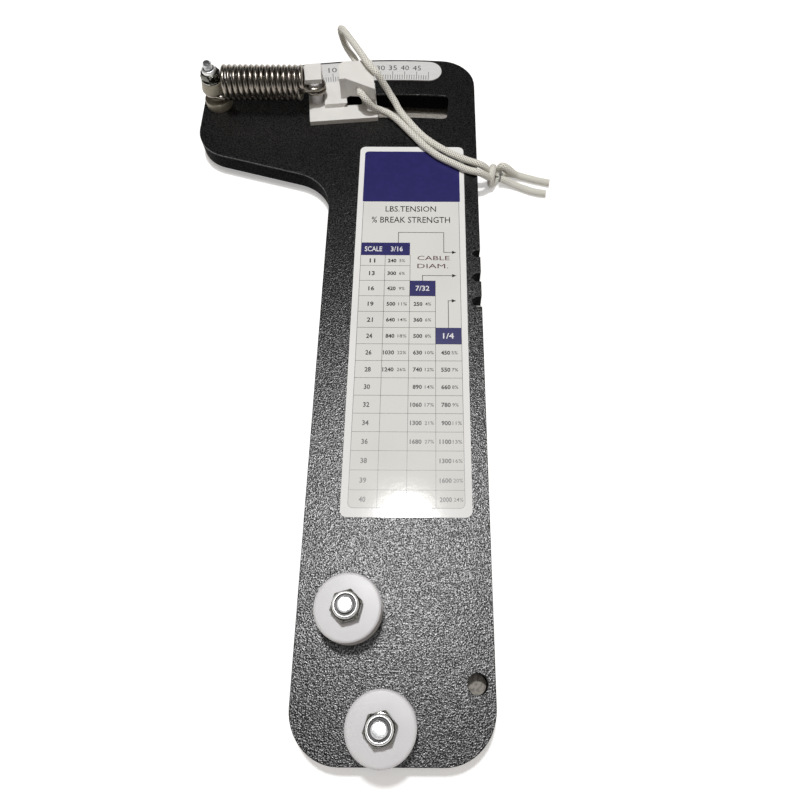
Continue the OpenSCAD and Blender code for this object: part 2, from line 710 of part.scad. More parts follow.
module slider_body() {
    window_w = right_screw_u - right_tongue_w / 2 - wall;
    color("#ecebe6") on_arc(face_z) difference() {
        union() {
            difference() {
                slider_blank();
                translate([0, 0, -bite]) linear_extrude(slide_gap + bite)
                    square(4 * base_right, center = true);
                translate([0, 0, base_h]) linear_extrude(roof_z - base_h) tower_inside();
                along_v(-base_front - bite, tower_front + wall + bite / 2) curtain_gap(tower_w - wall);
                along_v(-base_front - bite, -leg_front) curtain_gap(tower_w + bite);
            }
            tongues();
        }
        translate([wall, window_from, -plate_t - bite])
            cube([window_w, window_to - window_from, plate_t + base_h + 2 * bite]);
        along_v(-base_front, base_back + bite) translate([cord_u, cord_z]) circle(r = cord_hole_r);
        translate([-pin_left, pin_back, base_h - pin_seat])
            cylinder(h = roof_z + 2 * pin_seat - base_h, d = pin_d + 2 * screw_gap);
        for (u = [left_screw_u, right_screw_u])
            translate([u, 0, -plate_t - slide_gap - bite])
                cylinder(h = screw_len - keeper_t + bite, d = screw_d + 2 * screw_gap);
    }
}

module spring_pin() {
    color("#b9bbbe") on_arc(face_z) translate([-pin_left, pin_back, base_h - pin_seat])
        cylinder(h = roof_z + 2 * pin_seat - base_h, d = pin_d);
}

module pin_bush() {
    color("#dddcd6") on_arc(face_z) translate([-pin_left, pin_back, 0])
        ring(pin_bush_d, pin_d + 2 * bolt_gap, base_h, roof_z - base_h);
}

module slider_keeper() {
    color("#e2e1dc") on_arc(0) difference() {
        linear_extrude(keeper_t) arc_piece(slot_w / 2 + keeper_lap, -base_left, base_right);
        for (u = [left_screw_u, right_screw_u]) translate([u, 0, 0]) {
            cylinder(h = keeper_t + bite, d = screw_d + 2 * screw_gap);
            countersink(screw_gap);
        }
    }
}

// The cone of a flat screw head, with its wide end at Z = 0.
module countersink(gap) {
    cylinder(h = (screw_head_d - screw_d) / 2, d1 = screw_head_d + 2 * gap, d2 = screw_d + 2 * gap);
}

module keeper_screw(u) {
    color("#7f8286") on_arc(0) translate([u, 0, 0]) difference() {
        union() {
            cylinder(h = screw_len, d = screw_d);
            countersink(0);
        }
        translate([0, 0, -bite]) cylinder(h = bite + screw_d / 3, d = screw_d * 0.7, $fn = hex_sides);
    }
}

module left_screw() keeper_screw(left_screw_u);
module right_screw() keeper_screw(right_screw_u);

module lanyard_back() {
    color("#f0efec") tube(back_strand, cord_d / 2, cord_sides);
}

module lanyard_front() {
    color("#f0efec") tube(front_strand, cord_d / 2, cord_sides);
}

// The knot as a lumpy round body: two wraps cross it on a slant.
module lanyard_knot() {
    function wraps(a, b) = 1 + 0.07 * cos(2 * b + 3 * a);
    pts = concat([[-knot_len / 2, 0, 0]],
                 [for (i = [1 : knot_rings - 1], k = [0 : knot_sides - 1])
                     let (a = 180 * i / knot_rings, b = 360 * k / knot_sides, w = wraps(a, b))
                     [-cos(a) * knot_len / 2, sin(a) * cos(b) * w * knot_w / 2,
                      sin(a) * sin(b) * w * knot_w / 2]],
                 [[knot_len / 2, 0, 0]]);
    last = 1 + (knot_rings - 1) * knot_sides;
    skin = [for (i = [0 : knot_rings - 3], k = [0 : knot_sides - 1], half = [0, 1])
        let (a = 1 + i * knot_sides + k, b = 1 + i * knot_sides + (k + 1) % knot_sides)
        half == 0 ? [a, b, b + knot_sides] : [a, b + knot_sides, a + knot_sides]];
    ends = [for (k = [0 : knot_sides - 1], half = [0, 1])
        half == 0 ? [0, 1 + (k + 1) % knot_sides, 1 + k]
                  : [last, last - knot_sides + k, last - knot_sides + (k + 1) % knot_sides]];
    color("#f0efec") translate(knot_at) rotate([0, 0, knot_aim])
        polyhedron(points = pts, faces = concat(skin, ends), convexity = 4);
}

module upper_tail() {
    color("#f0efec") tube(upper_tail, cord_d / 2, cord_sides);
}

module lower_tail() {
    color("#f0efec") tube(lower_tail, cord_d / 2, cord_sides);
}

frame_plate();
data_label();
scale_strip();
upper_bolt();
upper_washer();
upper_bush();
upper_roller();
upper_nut();
upper_nut_ring();
lower_bolt();
lower_washer();
lower_bush();
lower_roller();
lower_nut();
lower_nut_ring();
post_bolt();
post_washer();
post_sleeve();
top_washer();
post_nut();
post_nut_ring();
tension_spring();
slider_body();
spring_pin();
pin_bush();
slider_keeper();
left_screw();
right_screw();
lanyard_back();
lanyard_front();
lanyard_knot();
upper_tail();
lower_tail();
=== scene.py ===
"""Looks of the rigging tension gauge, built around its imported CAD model. Metres, +Z up."""

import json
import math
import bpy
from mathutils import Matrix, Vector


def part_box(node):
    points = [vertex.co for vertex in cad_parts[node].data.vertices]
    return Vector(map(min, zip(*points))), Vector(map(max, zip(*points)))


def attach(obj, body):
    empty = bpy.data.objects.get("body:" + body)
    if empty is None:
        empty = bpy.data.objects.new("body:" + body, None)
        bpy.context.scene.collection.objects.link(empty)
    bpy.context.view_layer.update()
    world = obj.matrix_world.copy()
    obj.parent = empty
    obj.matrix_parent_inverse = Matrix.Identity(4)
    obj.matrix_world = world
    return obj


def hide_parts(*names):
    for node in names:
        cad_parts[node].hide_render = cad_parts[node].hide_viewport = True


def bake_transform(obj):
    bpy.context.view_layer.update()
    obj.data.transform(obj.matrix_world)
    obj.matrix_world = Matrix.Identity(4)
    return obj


bl_info = {
    "name": "Rigging tension gauge",
    "version": (1, 0, 0),
    "blender": (4, 5, 0),
    "location": "3D View > Sidebar > Gauge",
    "description": "Dresses the CAD model of a rigging tension gauge",
    "category": "Object",
}

import bpy
import numpy as np
from bpy.props import FloatProperty, FloatVectorProperty, PointerProperty
from mathutils import Matrix, Vector

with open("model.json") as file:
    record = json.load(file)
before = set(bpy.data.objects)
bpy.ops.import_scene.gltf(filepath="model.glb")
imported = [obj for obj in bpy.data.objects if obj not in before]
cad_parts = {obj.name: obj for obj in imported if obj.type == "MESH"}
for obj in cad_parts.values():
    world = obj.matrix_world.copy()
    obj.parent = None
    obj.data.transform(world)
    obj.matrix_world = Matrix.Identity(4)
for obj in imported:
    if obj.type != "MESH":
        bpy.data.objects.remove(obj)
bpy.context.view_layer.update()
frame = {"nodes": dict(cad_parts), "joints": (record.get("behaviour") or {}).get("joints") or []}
MM = 0.001
TURN = 2 * math.pi
ROUND_STEPS = 96


def box(node):
    """The two corners of a CAD node's box."""
    low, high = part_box(node)
    return np.array(low), np.array(high)


def middle(node):
    """The middle of a CAD node's box."""
    return sum(box(node)) / 2


# Places that the CAD model gives.
FACE_Z = box("frame_plate")[1][2]
LABEL_LOW, LABEL_HIGH = box("data_label")
LABEL_TOP = LABEL_HIGH[2]
STRIP_TOP = box("scale_strip")[1][2]
PIVOT = np.array(frame["joints"][2]["pos_m"])
POST = middle("post_sleeve")
PIN = middle("spring_pin")
# The radius of the groove in the post's sleeve, where the spring's loop lies.
POST_GROOVE = 3.7 * MM

# The photograph's camera.
IMAGE_SIDE = 800
FOCAL_PX = 660.5
CENTRE_PX = (423.5, 396.9)
CAMERA_AT = (0.04876, -0.15849, 0.29065)
CAMERA_TILT = 24.02
CAMERA_ROLL = 0.312
SENSOR_MM = 36

# The lamps: name, place, width and watts.
LAMPS = (
    ("overhead softbox", (0.01, 0.185, 1.2), 0.1, 9.0),
    ("wide fill", (0.05, -0.12, 1.2), 0.4, 2.0),
)
# Half the floor's side in millimetres. Its glow near the lamps and far from them, and where the near
# one ends and the far one begins, metres from the middle.
FLOOR_HALF = 3000
GLOW_NEAR, GLOW_FAR = 0.34, 1.0
NEAR_TO, FAR_FROM = 0.25, 1.1
# The studio: the sines of the angles at which a mirror sees the white backdrop end and the ceiling
# begin, the ceiling's colour, and the colour of the room's light.
BACKDROP_TO, CEILING_FROM = 0.12, 0.35
CEILING, ROOM = "1c1c1c", "827a72"

# Dark sheets where the table top shows through the plate, with the plate's shade painted into their
# colour: name, then left, near, right, far and height in millimetres. The hole is near the plate's edge,
# so its piece lies right under the plate and shows nowhere else.
SHADES = (
    ("slot_shade", -20, 130, 66, 170, 0.1),
    ("hole_shade", 64.5, -161.5, 76, -150.5, 3.7),
)

# The lock nuts and their bolts: name, width over the flats, width of the collar and height of the bolt's
# head in millimetres, and the nut's turn in degrees.
NUTS = (
    ("upper", 11.1, 10, 4, -14),
    ("lower", 11.1, 10, 4, -18),
    ("post", 9.5, 7.6, 3, 0),
)

# The lanyard's two strands and two tails, millimetres, as in the part's source.
BACK_HOLE = (11.07, 160.63, 27)
FRONT_HOLE = (12.93, 142.43, 27)
BACK_STRAND = [
    BACK_HOLE, (9.9, 165.8, 26.2), (8, 172.6, 23.7), (5.9, 179.2, 20.7), (4.1, 184.8, 18.3),
    (2.4, 189.3, 17.2), (0.8, 193, 17.6), (-0.5, 195.6, 19.6), (-1, 196, 22.6), (-0.7, 194.3, 25.8),
    (0.4, 191, 28.4), (2, 186.8, 30.4), (4.1, 181.9, 32), (6.7, 176.3, 33.1), (9.4, 170.8, 33.9),
    (12, 165.5, 34.4), (14.6, 160.4, 34.7), (18, 154.3, 34.7), (21.5, 150, 34), (23.8, 148.6, 31.5),
    (25.5, 147.8, 28.5), (27.5, 147, 25.3), (29.5, 145.5, 22.3), (32, 143, 19.7), (34, 140, 17.7),
    (38.5, 134, 16), (48, 121.5, 15.7), (57, 113.5, 15.8), (64, 108.5, 16), (72, 104.5, 15.8),
    (77.5, 102.5, 15.6), (81, 102.5, 13.5), (83, 103, 10.8), (84.5, 103.5, 8.5),
]
FRONT_STRAND = [
    BACK_HOLE, FRONT_HOLE, (13.7, 141.2, 27), (15.5, 138.8, 26.3), (17.3, 138, 24.4), (18.8, 138, 22),
    (21.2, 138.6, 19.3), (24, 139.3, 17.4), (28.5, 138, 16.2), (33.5, 133.5, 15.8), (39.5, 126, 15.7),
    (47.5, 116, 15.7), (55.5, 108, 15.7), (64, 102.5, 15.7), (72, 98, 15.7), (77.5, 96.5, 15.6),
    (80.5, 97, 13.5), (82.5, 98, 11), (84, 99.5, 8.5),
]
UPPER_TAIL = [(91, 104.3, 5.6), (93.5, 106, 4.6), (99.5, 106.5, 3), (104.5, 105.5, 2.2), (111, 103.5, 2),
              (118.4, 101.6, 2)]
LOWER_TAIL = [(90.5, 101.6, 5), (93, 101.5, 4.2), (97, 100.5, 2.6), (102, 98.5, 2), (109, 95.5, 2),
              (115.9, 94.1, 2)]
# The knot's cord about the knot's middle: along its axis, to its left and up, millimetres.
KNOT_AT = (88.7, 102.6, 6)
KNOT_AIM = -12
KNOT_CORD = [
    (-0.5, 0.5, -2.3), (-2.2, 3.6, -2.6), (-2.9, 4.4, 0.6), (-2.8, 2.2, 3.7), (-2.6, -1.6, 3.9),
    (-2.7, -4.3, 1.4), (-2.3, -4.4, -2), (-1.2, -1.2, -3.8), (0.3, 2.6, -3.3), (0.6, 4.6, -0.8),
    (0.8, 4.9, 1.8), (2.2, 4.8, 3.3), (4.4, 4.7, 2.8), (6.6, 4.9, 0.9), (8.6, 5.4, -1.4), (10.4, 6, -3),
]


def length_of(name, text, value):
    """A length property in metres, with its default in millimetres."""
    return FloatProperty(name=name, description=text, default=value * MM, unit="LENGTH")


def swatch(name, text, value):
    """A colour property with its sRGB default as hex."""
    return FloatVectorProperty(name=name, description=text, subtype="COLOR_GAMMA", size=3,
                               default=[int(value[i:i + 2], 16) / 255 for i in (0, 2, 4)])


class GaugeSizes(bpy.types.PropertyGroup):
    """Sizes of the pieces that the scene draws."""

    cord: length_of("Cord", "Diameter of the lanyard's cord", 3.8)
    wire: length_of("Wire", "Diameter of the spring's wire", 2.4)
    coil: length_of("Coils", "Mean radius of the spring's coils", 8)
    pitch: length_of("Coil pitch", "Rise from coil to coil", 3)
    roller_bolt: length_of("Roller bolts", "Diameter of a roller's bolt", 6.35)
    post_bolt: length_of("Post bolt", "Diameter of the post's bolt", 4.8)
    eased: length_of("Moulded edges", "Rounding of the slider's edges", 0.45)
    coated: length_of("Plate edges", "Rounding of the plate's edges under its coat", 0.5)


class GaugeColours(bpy.types.PropertyGroup):
    """Colours of the finishes, as sRGB."""

    coat: swatch("Coat", "The plate's powder coat", "0c0c0d")
    film: swatch("Label", "The data label's film", "e8e9e9")
    tint: swatch("Table", "The label's tinted table", "dcddda")
    navy: swatch("Blocks", "The label's printed blocks", "272567")
    nylon: swatch("Slider", "The moulded slider", "e6e5e2")
    turned: swatch("Rollers", "The turned rollers", "d6d6d9")
    cord: swatch("Cord", "The lanyard's braid", "f0efe6")
    strip: swatch("Strip", "The scale strip", "e6e7e7")


def sizes():
    """The scene's GaugeSizes."""
    return bpy.context.scene.gauge_sizes


def colours():
    """The scene's GaugeColours."""
    return bpy.context.scene.gauge_colours


def linear(srgb, share=1):
    """A linear colour from an sRGB hex value or three sRGB parts, scaled by a share of its light."""
    if isinstance(srgb, str):
        srgb = [int(srgb[i:i + 2], 16) / 255 for i in (0, 2, 4)]
    parts = [c / 12.92 if c <= 0.04045 else ((c + 0.055) / 1.055) ** 2.4 for c in srgb]
    return (*(min(1, c * share) for c in parts), 1)


# Materials


def new_material(name):
    """A material with a Principled surface; returns it, its tree and that node."""
    made = bpy.data.materials.new(name)
    made.use_nodes = True
    return made, made.node_tree, made.node_tree.nodes["Principled BSDF"]


def feed(tree, node, inputs):
    """Gives each input of a node its source, which is another node's output or a plain value."""
    for key, value in inputs.items():
        if isinstance(value, bpy.types.NodeSocket):
            tree.links.new(value, node.inputs[key])
        else:
            node.inputs[key].default_value = value


def add(tree, kind, inputs=None, out=0, stops=(), **settings):
    """Adds a node with its settings, inputs and a ramp's (place, colour) stops; returns one output."""
    node = tree.nodes.new(kind)
    for key, value in settings.items():
        setattr(node, key, value)
    feed(tree, node, inputs or {})
    if stops:
        elements = node.color_ramp.elements
        while len(elements) < len(stops):
            elements.new(0.5)
        for element, (place, colour) in zip(elements, stops):
            element.position, element.color = place, colour
    return node.outputs[out]


def patches(tree, size, detail=2, rough=0.55, stretch=(1, 1, 1)):
    """Uneven patches about that many millimetres across, from 0 to 1, that stay put on the piece."""
    place = add(tree, "ShaderNodeTexCoord", out="Object")
    place = add(tree, "ShaderNodeMapping", {"Vector": place, "Scale": stretch})
    return add(tree, "ShaderNodeTexNoise",
               {"Vector": place, "Scale": 1 / (size * MM), "Detail": detail, "Roughness": rough})


def bumped(tree, height, depth, edge=None):
    """A normal raised by height times depth millimetres, over sharp edges rounded by edge metres."""
    inputs = {"Height": height, "Distance": depth * MM}
    if edge:
        inputs["Normal"] = add(tree, "ShaderNodeBevel", {"Radius": edge}, samples=6)
    return add(tree, "ShaderNodeBump", inputs)


def tones(tree, factor, low, high, colour, share):
    """From a darker share of a colour at low to the colour itself at high."""
    return add(tree, "ShaderNodeValToRGB", {"Fac": factor},
               stops=((low, linear(colour, share)), (high, linear(colour))))


def powder_coat():
    """Textured powder coat, cured to fine pimples: a black semi-gloss that breaks into bright flecks.
    Below the face, on the edges and in the holes, its gloss is cut and it is rougher: painted shade, so
    that these walls read black."""
    made, tree, surface = new_material("textured powder coat")
    grain = patches(tree, 0.62, 1.5, 0.6)
    fleck = add(tree, "ShaderNodeMapRange",
                {"Value": grain, "From Min": 0.4, "From Max": 0.63, "To Min": 0.15, "To Max": 1.0})
    place = add(tree, "ShaderNodeTexCoord", out="Object")
    height = add(tree, "ShaderNodeSeparateXYZ", {0: place}, out="Z")
    edge = {"Value": height, "From Min": FACE_Z - 1.2 * MM, "From Max": FACE_Z - 0.5 * MM}
    # Below the face the gloss is cut and the coat is rougher: painted shade on the walls and in the
    # holes.
    face_gloss_with_painted_shade = add(tree, "ShaderNodeMapRange", {**edge, "To Min": 0.08})
    dull = add(tree, "ShaderNodeMapRange", {**edge, "To Min": 0.7, "To Max": 0.3})
    feed(tree, surface, {
        "Base Color": tones(tree, grain, 0.38, 0.62, colours().coat, 0.6),
        "Specular IOR Level": add(tree, "ShaderNodeMath", {0: fleck, 1: face_gloss_with_painted_shade}, operation="MULTIPLY"),
        "Roughness": dull,
        "IOR": 1.6,
        "Normal": bumped(tree, grain, 0.18, sizes().coated),
    })
    return made


def nylon(name, colour, clear, edge=None):
    """Natural nylon: light goes a little way in, so its edges and shadows stay pale."""
    made, tree, surface = new_material(name)
    feed(tree, surface, {
        "Base Color": tones(tree, patches(tree, 14), 0.3, 0.65, colour, 0.93),
        "Normal": bumped(tree, patches(tree, 0.9), 0.012, edge),
        "Roughness": 0.4,
        "Subsurface Weight": clear,
        "Subsurface Radius": (0.9, 0.85, 0.8),
        "Subsurface Scale": 1.5 * MM,
    })
    return made


def steel(name, colour, rough, edge=0.25, metal=1.0):
    """Plated or turned steel: a slightly grey mirror whose gloss is broken by faint tool marks."""
    made, tree, surface = new_material(name)
    mark = patches(tree, 1.1, 3, 0.6)
    feed(tree, surface, {
        "Base Color": tones(tree, mark, 0.3, 0.6, colour, 0.75),
        "Roughness": add(tree, "ShaderNodeMapRange",
                         {"Value": mark, "To Min": rough * 0.8, "To Max": rough * 1.3}),
        "Normal": bumped(tree, mark, 0.004, edge * MM),
        "Metallic": metal,
    })
    return made


def nut_zinc():
    """Bright zinc on a nut: the hexagon's colour is darkened as a painted reflection of its dark
    surroundings, and the collar's rolled rim, which the die left rougher, is near white as a painted
    highlight all round."""
    made, tree, surface = new_material("zinc plated lock nut")
    rim = add(tree, "ShaderNodeAttribute", out="Fac", attribute_name="painted_light")
    feed(tree, surface, {
        # The hexagon's dark colour is a painted reflection, and the rim's near white is a painted
        # highlight.
        "Base Color": add(tree, "ShaderNodeValToRGB", {"Fac": rim},
                          stops=((0.3, linear("66665f")), (0.8, linear("f0f0ee")))),
        "Roughness": add(tree, "ShaderNodeMapRange", {"Value": rim, "To Min": 0.14, "To Max": 0.45}),
        "Normal": bumped(tree, patches(tree, 0.8), 0.01, 0.2 * MM),
        "Metallic": 1.0,
    })
    return made


def printed_film(name, colour):
    """Vinyl film under a clear laminate: flat colour with a soft gloss and a faint orange peel."""
    made, tree, surface = new_material(name)
    feed(tree, surface, {
        "Base Color": tones(tree, patches(tree, 40), 0.35, 0.6, colour, 0.96),
        "Normal": bumped(tree, patches(tree, 3), 0.01),
        "Roughness": 0.09,
        "Specular IOR Level": 0.16,
    })
    return made


def ink(name, colour):
    """Screen ink: a flat colour that thins a little where the squeegee lifted."""
    made, tree, surface = new_material(name)
    feed(tree, surface, {
        "Base Color": tones(tree, patches(tree, 3, 2, 0.6), 0.4, 0.7, colour, 0.86),
        "Roughness": 0.34,
    })
    return made


def satin_strip():
    """Anodised aluminium, brushed along its length: pale, satin and finely streaked."""
    made, tree, surface = new_material("anodised aluminium")
    streak = patches(tree, 0.5, 2, 0.6, (0.08, 1, 1))
    feed(tree, surface, {
        "Base Color": tones(tree, streak, 0.3, 0.65, colours().strip, 0.88),
        "Roughness": 0.42,
        "Metallic": 0.15,
    })
    return made


def braid():
    """Braided polyester: matt white strands over and under each other, darker towards the gaps between
    them as painted shade, and a fibre speckle drawn as coarse as the strands' crossings so that it shows."""
    made, tree, surface = new_material("braided polyester")
    strand = add(tree, "ShaderNodeAttribute", out="Fac", attribute_name="painted_light")
    place = add(tree, "ShaderNodeUVMap", uv_map="along")
    fibre = add(tree, "ShaderNodeTexNoise",
                {"Vector": place, "Scale": 24.0, "Detail": 3.0, "Roughness": 0.7})
    both = add(tree, "ShaderNodeMath", {0: strand, 1: fibre}, operation="MULTIPLY")
    cord = colours().cord
    # The colour darkens from the strands' tops into the gaps between them: painted shade.
    gap, shaded, lit = (0.12, linear(cord, 0.25)), (0.27, linear(cord, 0.64)), (0.43, linear(cord))
    feed(tree, surface, {
        "Base Color": add(tree, "ShaderNodeValToRGB", {"Fac": both}, stops=(gap, shaded, lit)),
        "Normal": bumped(tree, fibre, 0.12),
        "Roughness": 0.7,
        "Sheen Weight": 0.2,
    })
    return made


FINISHES = {}
MAKERS = {
    "coat": powder_coat,
    "nylon": lambda: nylon("moulded nylon", colours().nylon, 0.15, sizes().eased),
    "turned": lambda: nylon("turned nylon", colours().turned, 0.25),
    # The lock rings' dark grey is painted shade between the collar and the bolt.
    "ring": lambda: nylon("nylon lock ring in painted shade", "4a4a4c", 0),
    "nut": nut_zinc,
    "zinc": lambda: steel("zinc plated steel", "a6a69f", 0.16),
    "bright": lambda: steel("cut bolt end", "d9dadb", 0.3, 0.1),
    "spring": lambda: steel("spring steel wire", "a19a90", 0.27, 0),
    "sleeve": lambda: steel("turned steel sleeve", "9a9484", 0.42, 0.25, 0.55),
    "film": lambda: printed_film("vinyl film", colours().film),
    "tint": lambda: printed_film("tinted vinyl film", colours().tint),
    "strip": satin_strip,
    "navy": lambda: ink("navy ink", colours().navy),
    "black": lambda: ink("black ink", "202022"),
    "grey": lambda: ink("grey ink", "6a6b6c"),
    "red": lambda: ink("dark red ink", "5a3034"),
    "white": lambda: ink("white ink", "eff0f2"),
    "braid": braid,
}


def finish(name):
    """The finish of that name, made once."""
    if name not in FINISHES:
        FINISHES[name] = MAKERS[name]()
    return FINISHES[name]


# Surfaces


def place_piece(name, mesh):
    """Puts a mesh, text, lens or lamp into the scene as an object."""
    piece = bpy.data.objects.new(name, mesh)
    bpy.context.scene.collection.objects.link(piece)
    return piece


def grid_piece(name, points, close_u=False, close_v=False, caps=False, uv=None, painted_light=None):
    """Quads on a grid of points (rows, columns, 3). Rows or columns may close on themselves, and the
    first and last row may be capped. uv(row, column) and lift, a value for each point that a finish
    paints as light or shade, are optional."""
    rows, cols = points.shape[:2]
    i, j = np.meshgrid(np.arange(rows if close_u else rows - 1),
                       np.arange(cols if close_v else cols - 1), indexing="ij")
    i, j = i.ravel(), j.ravel()
    i2, j2 = (i + 1) % rows, (j + 1) % cols
    faces = np.stack([i * cols + j, i * cols + j2, i2 * cols + j2, i2 * cols + j], 1).tolist()
    if caps:
        faces.append(list(range(cols))[::-1])
        faces.append(list(range((rows - 1) * cols, rows * cols)))
    mesh = bpy.data.meshes.new(name)
    mesh.from_pydata(points.reshape(-1, 3).tolist(), [], faces)
    if uv is not None:
        corners = np.zeros((len(mesh.loops), 2))
        quads = np.stack([uv(i, j), uv(i, j + 1), uv(i + 1, j + 1), uv(i + 1, j)], 1).reshape(-1, 2)
        corners[: len(quads)] = quads
        mesh.uv_layers.new(name="along").data.foreach_set("uv", corners.ravel())
    if painted_light is not None:
        mesh.attributes.new("painted_light", "FLOAT", "POINT").data.foreach_set("value", painted_light.ravel())
    mesh.update()
    return place_piece(name, mesh)


def sheet(name, left, bottom, right, top, height):
    """A flat rectangle, millimetres."""
    corners = [[[left, bottom, height], [right, bottom, height]],
               [[left, top, height], [right, top, height]]]
    return grid_piece(name, np.array(corners) * MM)


def dress(piece, material, body, slot, *nodes, sharp=None):
    """Gives a piece its finish and body, and hides the CAD nodes that it stands for; slot is not used.
    Edges sharper than sharp degrees stay crisp on a smooth piece."""
    piece.data.materials.append(finish(material))
    if sharp is not None:
        piece.data.shade_smooth()
        piece.data.set_sharp_from_angle(angle=math.radians(sharp))
    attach(piece, body)
    if nodes:
        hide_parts(*nodes)
    return piece


def ring_points(radius, angle, height, at):
    """Points round the upright axis through at: the radius times (cosine, sine) of the angle, at that
    height. The last row comes first."""
    x, y = at[0] + radius * np.cos(angle), at[1] + radius * np.sin(angle)
    return np.stack([x, y, height + 0 * x], -1)[::-1]


def revolved(name, profile, at):
    """Turns a closed profile of (radius, height) about the upright axis through at."""
    radius, height = (np.array(column)[:, None] for column in zip(*profile))
    angle = np.linspace(0, TURN, ROUND_STEPS, endpoint=False)
    return grid_piece(name, ring_points(radius, angle, height, at), close_u=True, close_v=True)


def arc(centre, radius, start, end, count=5):
    """Points of a profile at the centre plus radius times (cosine, sine) of angles in degrees, where 0
    is outwards and 90 is up."""
    a = np.radians(np.linspace(start, end, count))
    return list(zip(centre[0] + radius * np.cos(a), centre[1] + radius * np.sin(a)))


def spun(name, rows, at, turn, closed=False, bright=()):
    """A turned piece with flats. Each row is (radius, height, half width of the hexagon or 0, depth of
    the thread). At an angle, the radius is the lesser of the row's radius and the half width over the
    cosine of the angle from the nearest flat's middle, less the thread: a triangle wave along the helix.
    The rows in bright have a lift of one, which the nut's finish paints as a highlight."""
    radius, height, half, depth = (np.array(column)[:, None] for column in zip(*rows))
    angle = np.linspace(0, TURN, ROUND_STEPS, endpoint=False)
    off_flat = np.mod(angle - math.radians(turn), TURN / 6) - TURN / 12
    radius = np.where(half > 0, np.minimum(radius, half / np.cos(off_flat)), radius)
    pitch = 1.27 * MM
    wave = np.abs(np.mod(height / pitch - angle / TURN, 1) - 0.5) * 2
    radius = radius - depth * wave
    painted_light = np.isin(np.arange(len(rows)), bright)[:, None] + 0.0 * radius
    return grid_piece(name, ring_points(radius, angle, height, at), close_u=closed, close_v=True,
                      caps=not closed, painted_light=painted_light[::-1])


def along(points, per_gap=8):
    """A smooth curve through the points: on each gap, the cubic whose ends lean along their
    neighbours."""
    p = np.array(points, float)
    ends = np.vstack([2 * p[0] - p[1], p, 2 * p[-1] - p[-2]])
    t = np.linspace(0, 1, per_gap, endpoint=False)[:, None]
    a, b, c, d = (ends[k:len(ends) - 3 + k][:, None, :] for k in range(4))
    bend, twist = 2 * a - 5 * b + 4 * c - d, 3 * b - a - 3 * c + d
    curve = 0.5 * (2 * b + (c - a) * t + bend * t**2 + twist * t**3)
    return np.vstack([curve.reshape(-1, 3), p[-1:]])


def run_length(path):
    """How far along the path each of its points lies."""
    return np.concatenate([[0], np.cumsum(np.linalg.norm(np.diff(path, axis=0), axis=1))])


def spaced(path, step):
    """The same path with points a step apart."""
    s = run_length(path)
    at = np.linspace(0, s[-1], max(2, int(round(s[-1] / step)) + 1))
    return np.stack([np.interp(at, s, path[:, k]) for k in range(3)], 1)


def tube(name, path, radius, sides, relief=None):
    """A round tube on a path: each point is the path's plus radius * (side * cos a + up * sin a), where
    side is carried along the path with as little turn as can be. relief(a, s) gives a share from 0 to 1
    and the depth that its lack takes off the radius; the piece keeps the share as its lift, which the
    braid's finish paints as light on the strands and shade in the gaps."""
    way = np.gradient(path, axis=0)
    way /= np.linalg.norm(way, axis=1)[:, None]
    side = np.zeros_like(path)
    last = np.cross(way[0], (0.3, 0.1, 1))
    for k, w in enumerate(way):
        last = last - w * (last @ w)
        last /= np.linalg.norm(last)
        side[k] = last
    up = np.cross(way, side)
    s = run_length(path)
    angle = np.linspace(0, TURN, sides, endpoint=False)
    ring = side[:, None, :] * np.cos(angle)[:, None] + up[:, None, :] * np.sin(angle)[:, None]
    if relief is None:
        return grid_piece(name, path[:, None, :] + radius * ring, close_v=True, caps=True)
    share, depth = relief(angle[None, :], s[:, None])
    points = path[:, None, :] + (radius - depth * (1 - share))[:, :, None] * ring
    turns = s / (TURN * radius)
    return grid_piece(name, points, close_v=True, caps=True, painted_light=share,
                      uv=lambda i, j: np.stack([j / sides, turns[i]], 1))


# Flat prints


def printed(name, texts, z, material, slot, bold=0.0):
    """One flat mesh of all the texts. Each is (words, middle, width, height, turn): its outline is scaled
    to that width and height, turned, and moved to the middle."""
    verts, faces = [], []
    for words, at, width, height, turn in texts:
        curve = bpy.data.curves.new(name, "FONT")
        curve.body = words
        curve.size = 1
        curve.resolution_u = 2
        curve.offset = bold
        holder = place_piece(name, curve)
        bpy.context.view_layer.update()
        shown = holder.evaluated_get(bpy.context.evaluated_depsgraph_get())
        mesh = bpy.data.meshes.new_from_object(shown)
        bpy.data.objects.remove(holder)
        co = np.zeros(len(mesh.vertices) * 3)
        mesh.vertices.foreach_get("co", co)
        co = co.reshape(-1, 3)[:, :2]
        low, high = co.min(0), co.max(0)
        co = (co - (low + high) / 2) / (high - low) * (width, height)
        c, s = math.cos(turn), math.sin(turn)
        start = sum(len(v) for v in verts)
        faces += [[start + v for v in p.vertices] for p in mesh.polygons]
        verts.append(co @ np.array([[c, s], [-s, c]]) + np.array(at))
        bpy.data.meshes.remove(mesh)
    return flat_piece(name, np.vstack(verts), faces, z, material, slot)


def apart(flat, corners):
    """Faces with that many corners each, one after another, that share none."""
    return np.arange(len(flat)).reshape(-1, corners).tolist()


def flat_piece(name, flat, faces, z, material, slot):
    """A flat print on the plate, at height z."""
    mesh = bpy.data.meshes.new(name)
    mesh.from_pydata(np.column_stack([flat, np.full(len(flat), z)]).tolist(), [], faces)
    return dress(place_piece(name, mesh), material, "frame", slot)


def bars(name, boxes, z, material):
    """Flat rectangles on the label in one mesh; each is (left, bottom, right, top) in millimetres."""
    b = np.array(boxes, float) * MM
    flat = np.stack([b[:, [0, 1]], b[:, [2, 1]], b[:, [2, 3]], b[:, [0, 3]]], 1).reshape(-1, 2)
    return flat_piece(name, flat + LABEL_LOW[:2], apart(flat, 4), z, material, "label_film")


# The stage and the pieces


